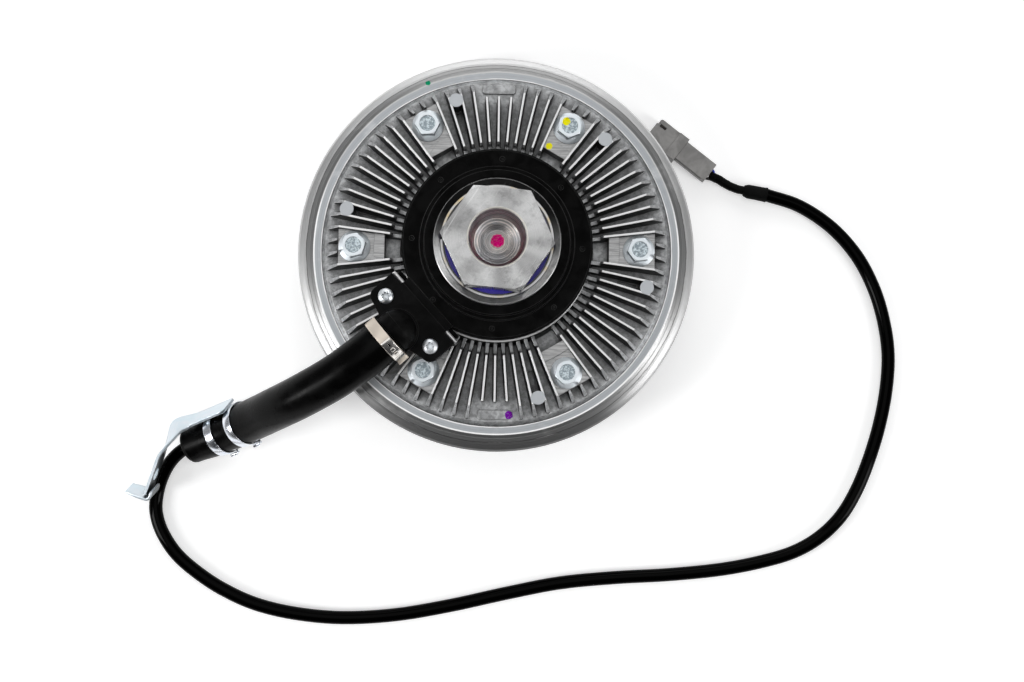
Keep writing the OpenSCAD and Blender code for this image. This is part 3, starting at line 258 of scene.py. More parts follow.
class Effects:
    """Node groups that several finishes share, each built once."""

    @staticmethod
    def _group(name: str, inputs: dict[str, str], outputs: dict[str, str]
               ) -> tuple[Graph, list[Socket], Mapping[str, Socket]]:
        """Makes an empty node group.

        Args:
            name: Name of the group.
            inputs: Socket types by input name.
            outputs: Socket types by output name.
        Returns:
            The group's graph, what it is given, in order, and what it has to feed, by name.
        """
        tree = bpy.data.node_groups.new(name, "ShaderNodeTree")
        for title, kind in inputs.items():
            tree.interface.new_socket(title, in_out="INPUT", socket_type=kind)
        for title, kind in outputs.items():
            tree.interface.new_socket(title, in_out="OUTPUT", socket_type=kind)
        graph = Graph(tree)
        given = list(graph.node("NodeGroupInput").outputs)[:len(inputs)]
        return graph, given, graph.node("NodeGroupOutput").inputs

    @staticmethod
    @functools.cache
    def edges() -> bpy.types.NodeTree:
        """Soft edges: a normal rounded over each edge, and a mask of the edge itself."""
        graph, (radius,), made = Effects._group(
            "soft_edges", {"Radius": FLOAT}, {"Normal": VECTOR, "Mask": FLOAT})
        bevel = graph.node("ShaderNodeBevel", {"Radius": radius}, samples=6)
        surface = graph.node("ShaderNodeNewGeometry")
        same = graph.node("ShaderNodeVectorMath", {0: bevel.outputs[0], 1: surface.outputs["Normal"]},
                          operation="DOT_PRODUCT").outputs["Value"]
        graph.feed(made["Normal"], bevel.outputs[0])
        graph.feed(made["Mask"], graph.span(same, 0.995, 0.86))
        return graph.tree

    @staticmethod
    @functools.cache
    def crevices() -> bpy.types.NodeTree:
        """Dirt and shade where a surface is close to another."""
        graph, (reach,), made = Effects._group("crevices", {"Reach": FLOAT}, {"Mask": FLOAT})
        open_sky = graph.node("ShaderNodeAmbientOcclusion", {"Distance": reach}, samples=8).outputs["AO"]
        graph.feed(made["Mask"], graph.span(open_sky, 0.75, 0.1, smooth=False))
        return graph.tree

    @staticmethod
    @functools.cache
    def grain() -> bpy.types.NodeTree:
        """Fine isotropic grain, such as cast skin or moulded plastic, and slow clouds in it."""
        graph, (vector, scale), made = Effects._group(
            "grain", {"Vector": VECTOR, "Scale": FLOAT}, {"Height": FLOAT, "Clouds": FLOAT})
        slow = graph.node("ShaderNodeTexNoise", {
            "Vector": vector, "Scale": graph.times(scale, 0.04), "Detail": 3.0,
            "Distortion": 0.6}).outputs[0]
        graph.feed(made["Height"], graph.noise(vector, scale, 4.0, 0.62))
        graph.feed(made["Clouds"], graph.span(slow, 0.3, 0.7))
        return graph.tree

    @staticmethod
    @functools.cache
    def turning() -> bpy.types.NodeTree:
        """Rings that a lathe leaves round the Z axis, with the radius for zones."""
        graph, (vector, rings), made = Effects._group(
            "turning_rings", {"Vector": VECTOR, "Rings": FLOAT},
            {"Height": FLOAT, "Radius": FLOAT, "Z": FLOAT})
        radius = graph.node("ShaderNodeVectorMath", {0: graph.flat(vector)},
                            operation="LENGTH").outputs["Value"]
        height = graph.node("ShaderNodeTexNoise", {
            "W": graph.times(radius, rings), "Scale": 1.0, "Detail": 3.0, "Roughness": 0.7},
            noise_dimensions="1D").outputs[0]
        graph.feed(made["Height"], height)
        graph.feed(made["Radius"], radius)
        graph.feed(made["Z"], graph.parts(vector)[2])
        return graph.tree

    @staticmethod
    @functools.cache
    def scratches() -> bpy.types.NodeTree:
        """Thin straight scratches in two directions."""
        graph, (vector,), made = Effects._group("scratches", {"Vector": VECTOR}, {"Mask": FLOAT})
        lines = []
        for turn, scale in ((0.5, (900.0, 24.0, 60.0)), (2.1, (28.0, 1100.0, 60.0))):
            askew = graph.node("ShaderNodeVectorRotate", {"Vector": vector, "Angle": turn}).outputs[0]
            lines.append(graph.span(graph.noise(graph.stretched(askew, scale), 1.0, 2.0), 0.66, 0.74))
        graph.feed(made["Mask"], graph.math("MAXIMUM", *lines))
        return graph.tree

    @staticmethod
    @functools.cache
    def paint_dot() -> bpy.types.NodeTree:
        """A dab of marking paint with a ragged edge round a centre."""
        graph, (vector, centre, size), made = Effects._group(
            "paint_dot", {"Vector": VECTOR, "Centre": VECTOR, "Size": FLOAT}, {"Mask": FLOAT})
        ragged = graph.noise(vector, 600.0, 5.0, 0.7)
        specks = graph.span(graph.noise(vector, 1500.0, 2.0), 0.58, 0.66, (1.0, 0.45))
        ratio = graph.math("DIVIDE", graph.away(vector, centre), size)
        edge = graph.math("ADD", ratio, graph.times(ragged, 0.7))
        graph.feed(made["Mask"], graph.times(graph.span(edge, 1.38, 1.26), specks))
        return graph.tree


WEAR_AND_HIGHLIGHT, RUBBED, PAINTED_SIDE_HIGHLIGHT, GLEAM = grey(0.8), grey(0.9), grey(0.92), grey(0.97)
CAST, MOTTLED, SCRATCHED, GRAIN_AND_SHEEN = grey(0.5, 0.04), grey(0.14), grey(0.3), grey(0.2)
DIRT_AND_SHADE, SHADE, RIM_SIDE_SHADE, FAR_SIDE_SHADE, PAINTED_LOW_SHADE = grey(0.045), grey(0.02), grey(0.03), grey(0.012), grey(0.05)
BOWL_TINTS = ((0.56, 0.47, 0.42, 1.0), (0.46, 0.44, 0.46, 1.0))
BOWL_WALL, BOWL_MOUTH_HIGHLIGHT = grey(0.97, 0.02), (0.95, 0.93, 0.88, 1.0)
ZINC_GRIME_AND_SHADE, ZINC_SHADE, ZINC_EDGE = grey(0.08, 0.1), grey(0.03, 0.1), grey(0.95)
DISH_TINTS = ((0.2, 0.25, 0.28, 1.0), (0.6, 0.68, 0.72, 1.0))
PAINTED_EDGE_HIGHLIGHT = grey(0.09)


@dataclass(frozen=True)
class PaintDot:
    """A dab of marking paint: where it lies, its radius in metres, its colour and roughness."""

    centre: tuple[float, float, float]
    size: float
    colour: Colour
    roughness: float = 0.45


@dataclass(frozen=True)
class Finish:
    """A finish: the Principled values that hold all over, and how its pattern is made."""

    name: str
    slot: str
    colour: Colour
    roughness: float = 0.5
    metallic: float = 0.0
    specular: float = 0.5
    edge: float = 0.3
    grain: float = 2500.0
    relief: float = 0.02
    reach: float = 2.5
    coordinates: Coordinates = Coordinates.OBJECT
    dots: tuple[PaintDot, ...] = ()

    def material(self) -> bpy.types.Material:
        """Returns the Blender material, which is built at its first use."""
        known = bpy.data.materials.get(self.name)
        if known is not None:
            return known
        made = bpy.data.materials.new(self.name)
        made.use_nodes = True
        made.node_tree.nodes.clear()
        graph = Graph(made.node_tree)
        shader = graph.node("ShaderNodeBsdfPrincipled", {
            "Metallic": self.metallic, "Specular IOR Level": self.specular})
        place = graph.node("ShaderNodeTexCoord").outputs[self.coordinates.value]
        colour, rough, normal = self.pattern(graph, place, shader)
        for dot in self.dots:
            colour, rough = self._dab(graph, place, dot, colour, rough)
        graph.feed(shader.inputs["Base Color"], colour)
        graph.feed(shader.inputs["Roughness"], rough)
        graph.feed(shader.inputs["Normal"], normal)
        output = graph.node("ShaderNodeOutputMaterial")
        graph.tree.links.new(shader.outputs[0], output.inputs[0])
        made.diffuse_color = self.colour
        return made

    @staticmethod
    def _dab(graph: Graph, place: Socket, dot: PaintDot, colour: Socket, rough: Socket
             ) -> tuple[Socket, Socket]:
        """Lays a paint dot over colour and roughness and returns both."""
        (mask,) = graph.effect(Effects.paint_dot(), Vector=place, Centre=dot.centre, Size=dot.size)
        return graph.mix(mask, colour, dot.colour), graph.mix_numbers(mask, rough, dot.roughness)

    def pattern(self, graph: Graph, place: Socket, shader: Node) -> Look:
        """Builds what changes over the surface.

        Args:
            graph: The material's graph.
            place: Coordinates of the pattern.
            shader: The Principled node, for values that a finish sets by itself.
        Returns:
            Colour, roughness and normal.
        """
        raise NotImplementedError(self.name)

    def soft_edges(self, graph: Graph) -> list[Socket]:
        """Normal and mask of the shared soft edges at this finish's radius."""
        return graph.effect(Effects.edges(), Radius=self.edge * MM)

    def fine_grain(self, graph: Graph, place: Socket) -> list[Socket]:
        """Height and clouds of the shared grain at this finish's scale."""
        return graph.effect(Effects.grain(), Vector=place, Scale=self.grain)

    def crevice_shade_and_scratches(self, graph: Graph, place: Socket) -> Sequence[Socket]:
        """Masks of the shared crevices, for dirt and painted shade, at this finish's reach, and of
        scratches.
        """
        return (*graph.effect(Effects.crevices(), Reach=self.reach * MM),
                *graph.effect(Effects.scratches(), Vector=place))

    def varied(self, low: float, high: float) -> Pair:
        """The finish's roughness made smoother and rougher by two factors."""
        return self.roughness * low, min(1.0, self.roughness * high)


@dataclass(frozen=True)
class CastMetal(Finish):
    """Die-cast aluminium: mottled skin, crevices dark with dirt and painted shade, painted shade on
    steep walls, a painted highlight on high flats, edges that use has brightened, and machined flats.

    machined holds the heights in millimetres of the flats that a cutter has passed over, shade how dark
    dirt and painted shade make the crevices, wall how dark painted shade makes the steep walls, tips
    the height in millimetres above which flats carry a painted highlight, and posts the angles in
    degrees of the ejector posts, whose ends keep a cast grey over that highlight.
    """

    reach: float = 9.0
    machined: tuple[float, ...] = ()
    machined_colour: Colour = grey(0.56)
    machined_roughness: float = 0.34
    shade: float = 0.55
    wall: float = 0.0
    tips: float = 1000.0
    posts: tuple[float, ...] = ()
    post_circle: float = 106.0
    post_radius: float = 5.2

    def pattern(self, graph: Graph, place: Socket, shader: Node) -> Look:
        """Colour, roughness and normal of cast metal with machined flats."""
        bevel, edge = self.soft_edges(graph)
        grain, clouds = self.fine_grain(graph, place)
        crevice, scratch = self.crevice_shade_and_scratches(graph, place)
        mottle = graph.noise(place, 380.0, 4.0, 0.65)
        facing = graph.facing()
        # Painted highlight on flats that face up above the height of the tips.
        painted_highlight = graph.times(graph.span(facing, 0.8, 0.95), self._above_tips(graph, place))
        skin = graph.laid(
            toned(self.colour, 0.6), (clouds, self.colour),
            (graph.span(mottle, 0.42, 0.62, (0.0, 0.5)), MOTTLED),
            # Crevices darkened with dirt and painted shade.
            (graph.times(crevice, self.shade), DIRT_AND_SHADE),
            # Painted shade on the steep walls.
            (graph.span(facing, 0.45, 0.25, (0.0, self.wall)), SHADE),
            (painted_highlight, WEAR_AND_HIGHLIGHT), (graph.times(edge, 0.6), WEAR_AND_HIGHLIGHT),
            *((self._post_mask(graph, place, angle), CAST) for angle in self.posts))
        cut = self._cut_mask(graph, place)
        brushed = graph.span(graph.noise(graph.stretched(place, (50.0, 1000.0, 300.0)), 1.0, 3.0, 0.7),
                             0.3, 0.7)
        bare = graph.laid(toned(self.machined_colour, 0.6),
                          (brushed, toned(self.machined_colour, 1.15)), (scratch, SCRATCHED))
        rough = graph.mix_numbers(cut, graph.span(grain, 0.3, 0.7, self.varied(0.85, 1.15)),
                                  self.machined_roughness)
        normal = graph.bump(grain, self.relief * MM, bevel)
        rough_skin = graph.times(mottle, graph.math("SUBTRACT", 1.0, cut))
        return graph.mix(cut, skin, bare), rough, graph.bump(rough_skin, 2.5 * self.relief * MM, normal)

    def _above_tips(self, graph: Graph, place: Socket) -> Socket:
        """Where the surface lies above the height of the tips, whose flats carry the painted highlight.
        """
        return graph.span_mm(graph.parts(place)[2], self.tips, self.tips + 0.5)

    def _post_mask(self, graph: Graph, place: Socket, angle: float) -> Socket:
        """Where the flat end of the ejector post at that angle lies."""
        centre = self.post_circle * MM * heading(math.radians(angle))
        away = graph.away(graph.flat(place), tuple(centre))
        near = graph.span_mm(away, self.post_radius, self.post_radius - 0.3)
        return graph.times(near, self._above_tips(graph, place))

    def _cut_mask(self, graph: Graph, place: Socket) -> Socket:
        """Where a flat faces up at one of the machined heights."""
        z = graph.parts(place)[2]
        level = None
        for height in self.machined:
            away = graph.math("ABSOLUTE", graph.math("SUBTRACT", z, height * MM))
            near = graph.span_mm(away, 0.3, 0.15)
            level = near if level is None else graph.math("MAXIMUM", level, near)
        flat = graph.span(graph.facing(), 0.9, 0.97)
        return flat if level is None else graph.times(flat, level)


@dataclass(frozen=True)
class Zone:
    """A ring-shaped zone: its outer radius in millimetres, colour and roughness."""

    radius: float
    colour: Colour
    roughness: float


@dataclass(frozen=True)
class RolledRim(CastMetal):
    """The front casting, whose rolled and turned rim shows ring-shaped zones from above.

    hollow holds the radii in millimetres where the chamfer outside the rim's flat begins, is
    deepest under its bright line, and ends. Outside it, the band is darkened by painted shade on the
    side of negative Y and lit by a painted highlight on the other. The flat's outer edge carries a
    painted highlight all round but on the side of positive Y. fall and rise are the slopes of the
    hollow's two sides.
    """

    zones: tuple[Zone, ...] = ()
    rim_foot: float = 46.0
    soft: float = 0.2
    hollow: tuple[float, float, float] = (127.5, 129.9, 132.7)
    fall: float = 0.577
    rise: float = 0.42
    painted_side_shade: float = 0.7
    painted_highlight: float = 0.3

    def pattern(self, graph: Graph, place: Socket, shader: Node) -> Look:
        """Colour, roughness and normal of the casting with its turned rim."""
        skin, skin_rough, _ = super().pattern(graph, place, shader)
        lathe, radius, z = graph.effect(Effects.turning(), Vector=place, Rings=1400.0)
        smear = graph.noise(place, 45.0, 4.0, 0.6)
        wobble = graph.math("ADD", radius, graph.span(smear, 0.3, 0.7, (-0.3 * MM, 0.3 * MM)))
        rough: object = self.zones[0].roughness
        steps = []
        for inner, outer in zip(self.zones, self.zones[1:]):
            share = graph.span_mm(wobble, inner.radius - self.soft, inner.radius + self.soft)
            steps.append((share, outer.colour))
            rough = graph.mix_numbers(share, rough, outer.roughness)
        begin, deep, end = self.hollow
        side = graph.parts(place)[1]
        band = graph.span_mm(radius, end - 0.2, end + 0.3)
        # Painted shade on the outer band's side of negative Y, and a painted highlight on its other
        # side.
        side_shade = graph.times(band, graph.span_mm(side, -90, -115, (0.0, self.painted_side_shade)))
        painted_highlight = graph.times(band, graph.span_mm(side, 55, 90, (0.0, self.painted_highlight)))
        # Painted highlight along the flat's outer edge, fading out on the side of positive Y.
        line = graph.times(graph.span_mm(radius, begin - 1.2, begin - 0.8),
                           graph.span_mm(radius, begin + 0.1, begin - 0.1))
        colour = graph.laid(
            self.zones[0].colour, *steps, (graph.span(lathe, 0.4, 0.7, (0.0, 0.35)), SCRATCHED),
            (graph.span(smear, 0.56, 0.72, (0.0, 0.3)), WEAR_AND_HIGHLIGHT), (side_shade, RIM_SIDE_SHADE), (painted_highlight, PAINTED_SIDE_HIGHLIGHT),
            (graph.times(line, graph.span_mm(side, 55, 15)), GLEAM))
        rim = graph.span_mm(z, self.rim_foot, self.rim_foot + 1)
        bevel, _ = self.soft_edges(graph)
        grain, _ = self.fine_grain(graph, place)
        normal = graph.bump(graph.mix_numbers(rim, grain, lathe), self.relief * MM, bevel)
        fall = graph.span_mm(radius, begin, deep, (0.0, -self.fall * (deep - begin) * MM), smooth=False)
        rise = graph.span_mm(radius, deep, end, (0.0, self.rise * (end - deep) * MM), smooth=False)
        chamfer = graph.times(graph.math("ADD", fall, rise), rim)
        return (graph.mix(rim, skin, colour), graph.mix_numbers(rim, skin_rough, rough),
                graph.bump(chamfer, 1.0, normal))


@dataclass(frozen=True)
class TurnedMetal(Finish):
    """Metal turned on a lathe: fine rings, stains in clouds, and bright edges.

    lean is the slope with which the turned face falls towards the axis, bowl the radius in
    millimetres of a coarser turned, darker bowl in its middle, fans how much painted sheen darkens
    the grain of the turned face in sectors round the axis, and oiled how dark painted shade makes its
    far side. shade_below is the height in millimetres below which painted shade darkens the metal,
    and lip the radius in millimetres of a bright ring of painted highlight on the chamfer at the
    mouth of the bowl.
    """

    metallic: float = 1.0
    rings: float = 5000.0
    ring_relief: float = 0.012
    stain: float = 0.35
    stain_colour: Colour = grey(0.16)
    anisotropic: float = 0.45
    lean: float = 0.0
    bowl: float = 0.0
    sheen_fans: float = 0.0
    painted_side_shade: float = 0.0
    shade_below: float = 0.0
    lip: float = 0.0

    def pattern(self, graph: Graph, place: Socket, shader: Node) -> Look:
        """Colour, roughness and normal of turned metal."""
        shader.inputs["Anisotropic"].default_value = self.anisotropic
        tangent = graph.node("ShaderNodeTangent", direction_type="RADIAL", axis="Z").outputs[0]
        graph.feed(shader.inputs["Tangent"], tangent)
        bevel, edge = self.soft_edges(graph)
        lathe, radius, z = graph.effect(Effects.turning(), Vector=place, Rings=self.rings)
        stains = graph.span(graph.noise(place, 70.0, 5.0, 0.7), 0.46, 0.66)
        (scratch,) = graph.effect(Effects.scratches(), Vector=place)
        layers = [(graph.span(lathe, 0.35, 0.65, (0.0, 0.45)), toned(self.colour, 0.6))]
        # Painted sheen: sectors round the axis darkened as fanned highlights would be.
        if self.sheen_fans:
            layers.append((self._sheen_fans(graph, place), GRAIN_AND_SHEEN))
        layers.append((graph.times(stains, self.stain), self.stain_colour))
        # Painted shade: the side of positive Y darkened.
        if self.painted_side_shade:
            side_shade = graph.span_mm(graph.parts(place)[1], -12, 22, (0.0, self.painted_side_shade))
            layers.append((side_shade, FAR_SIDE_SHADE))
        colour = graph.laid(self.colour, *layers, (graph.times(scratch, 0.35), WEAR_AND_HIGHLIGHT),
                            (graph.times(edge, 0.7), RUBBED))
        rough = graph.span(lathe, 0.3, 0.7, self.varied(0.8, 1.25))
        normal = graph.bump(lathe, self.ring_relief * MM, bevel)
        if self.lean:
            normal = graph.bump(graph.times(radius, self.lean), 1.0, normal)
        if self.bowl:
            colour, normal = self._bowl(graph, place, radius, colour, normal)
        # Painted shade: the metal below that height, outside the bowl, darkened.
        if self.shade_below:
            low = graph.span_mm(z, self.shade_below, self.shade_below - 0.2)
            outside = graph.span_mm(radius, self.lip + 1.0, self.lip + 1.5)
            colour = graph.mix(graph.times(low, outside), colour, PAINTED_LOW_SHADE)
        # Painted highlight: a bright ring on the chamfer at the mouth of the bowl.
        if self.lip:
            away = graph.math("ABSOLUTE", graph.math("SUBTRACT", radius, self.lip * MM))
            mouth = graph.span_mm(away, 0.6, 0.4)
            colour = graph.mix(mouth, colour, BOWL_MOUTH_HIGHLIGHT)
            rough = graph.mix_numbers(mouth, rough, 0.8)
        return colour, rough, normal

    def _sheen_fans(self, graph: Graph, place: Socket) -> Socket:
        """Darkness of the sectors round the Z axis, a painted sheen like the fanned highlights of turned
        metal, with fine grain added.
        """
        round_axis = graph.node("ShaderNodeVectorMath", {0: graph.flat(place)},
                                operation="NORMALIZE").outputs[0]
        sectors = graph.span(graph.noise(round_axis, 0.9, 2.0), 0.42, 0.6, (0.0, self.sheen_fans))
        return graph.math("ADD", sectors, graph.span(
            graph.noise(place, 160.0, 4.0, 0.7), 0.5, 0.7, (0.0, 0.3)), clamp=True)

    def _bowl(self, graph: Graph, place: Socket, radius: Socket, colour: Socket, normal: Socket
              ) -> tuple[Socket, Socket]:
        """Darkens and tints the bowl, cuts coarse rings in it, and returns colour and normal."""
        inside = graph.span_mm(radius, self.bowl, self.bowl - 0.4)
        coarse = graph.effect(Effects.turning(), Vector=place, Rings=1100.0)[0]
        tint = graph.mix(graph.span(graph.noise(place, 60.0, 2.0), 0.4, 0.6), *BOWL_TINTS)
        tint = graph.mix(graph.span(coarse, 0.35, 0.6), tint, GRAIN_AND_SHEEN)
        wall = graph.times(graph.span(graph.facing(), 0.55, 0.2),
                           graph.span_mm(radius, self.bowl + 0.6, self.bowl + 0.3))
        colour = graph.laid(colour, (graph.times(inside, 0.8), tint),
                            (graph.times(wall, 0.95), BOWL_WALL))
        return colour, graph.bump(graph.times(coarse, inside), 0.12 * MM, normal)


@dataclass(frozen=True)
class PlatedSteel(Finish):
    """Zinc-plated steel: bluish bright plating in clouds, a fine spangle and bright edges.

    crown holds the heights in millimetres between which the dish in a bolt head is duller and
    speckled, grime how dark dirt and painted shade make the crevices, and sides how dark painted
    shade makes the steep faces.
    """

    metallic: float = 1.0
    tint: Colour = (0.55, 0.66, 0.78, 1.0)
    crown: tuple[float, ...] = ()
    grime_and_shade: float = 0.45
    sides: float = 0.0

    def pattern(self, graph: Graph, place: Socket, shader: Node) -> Look:
        """Colour, roughness and normal of plated steel."""
        bevel, edge = self.soft_edges(graph)
        grain, clouds = self.fine_grain(graph, place)
        crevice, scratch = self.crevice_shade_and_scratches(graph, place)
        # Crevices darkened with dirt and painted shade.
        layers = [(clouds, self.colour), (graph.times(crevice, self.grime_and_shade), ZINC_GRIME_AND_SHADE)]
        # Painted shade on the steep faces.
        if self.sides:
            layers.append((graph.span(graph.facing(), 0.3, 0.12, (0.0, self.sides)), ZINC_SHADE))
        rough = graph.span(clouds, 0.0, 1.0, self.varied(0.85, 1.15))
        if self.crown:
            z = graph.parts(place)[2]
            low, high = self.crown
            top = graph.times(graph.span_mm(z, low - 0.3, low), graph.span_mm(z, high, high - 0.3))
            specks = graph.span(graph.noise(place, 700.0, 3.0, 0.7), 0.45, 0.6)
            layers.append((graph.times(top, 0.9), graph.mix(specks, *DISH_TINTS)))
            rough = graph.mix_numbers(top, 0.62, 0.42)
        colour = graph.laid(self.tint, *layers, (graph.times(edge, 0.5), ZINC_EDGE))
        rough = graph.math("ADD", rough, graph.times(scratch, 0.1), clamp=True)
        normal = graph.bump(grain, self.relief * MM, bevel)
        return colour, rough, normal


@dataclass(frozen=True)
class Moulded(Finish):
    """Moulded plastic or rubber: fine eroded grain, dust, and polished, paler edges.

    rubbed is how far its edges are turned grey as a painted highlight.
    """

    dust: float = 0.12
    edge_highlight: float = 0.0
    dust_colour: Colour = grey(0.28)

    def pattern(self, graph: Graph, place: Socket, shader: Node) -> Look:
        """Colour, roughness and normal of moulded plastic."""
        bevel, edge = self.soft_edges(graph)
        grain, clouds = self.fine_grain(graph, place)
        specks = graph.span(graph.noise(place, 1500.0, 2.0), 0.68, 0.76)
        pale = toned(self.colour, 1.5, 0.003, most=1.0)
        colour = graph.laid(self.colour, (clouds, pale),
                            (graph.times(specks, self.dust), self.dust_colour),
                            (graph.times(edge, 0.25), pale))
        # Painted highlight: edges turned grey, as lines of light along them.
        if self.edge_highlight:
            colour = graph.mix(graph.times(edge, self.edge_highlight), colour, PAINTED_EDGE_HIGHLIGHT)
        rough = graph.span(grain, 0.25, 0.75, self.varied(0.8, 1.2))
        normal = graph.bump(grain, self.relief * MM, bevel)
        return colour, rough, normal


@dataclass(frozen=True)
class DrawnRubber(Finish):
    """Extruded rubber or jacket: smooth, with faint lines along its length.

    Its UV coordinates run round the section in U and along the length, in metres, in V.
    """

    lines: float = 36.0
    rub: float = 0.2
    coordinates: Coordinates = Coordinates.UV

    def pattern(self, graph: Graph, place: Socket, shader: Node) -> Look:
        """Colour, roughness and normal of an extruded skin."""
        along = graph.noise(graph.stretched(place, (self.lines, 14.0, 1.0)), 1.0, 3.0)
        cloud = graph.span(graph.noise(graph.stretched(place, (5.0, 60.0, 1.0)), 1.0, 4.0), 0.42, 0.68)
        fine = graph.noise(graph.stretched(place, (240.0, 2600.0, 1.0)), 1.0, 2.0)
        colour = graph.mix(graph.times(cloud, self.rub), self.colour, toned(self.colour, 2.2, 0.008))
        rough = graph.span(cloud, 0.0, 1.0, self.varied(0.88, 1.2))
        height = graph.math("ADD", graph.times(along, 0.6), graph.times(fine, 0.4))
        return colour, rough, graph.bump(height, self.relief * MM)


POST_ANGLES: tuple[float, ...] = tuple(60.0 * k - 12.45 for k in range(6))
PINK_PAINT: Colour = (0.62, 0.0, 0.16, 1.0)
YELLOW_PAINT: Colour = (0.85, 0.78, 0.0, 1.0)
PURPLE_PAINT: Colour = (0.17, 0.0, 0.33, 1.0)
GREEN_PAINT: Colour = (0.0, 0.28, 0.13, 1.0)


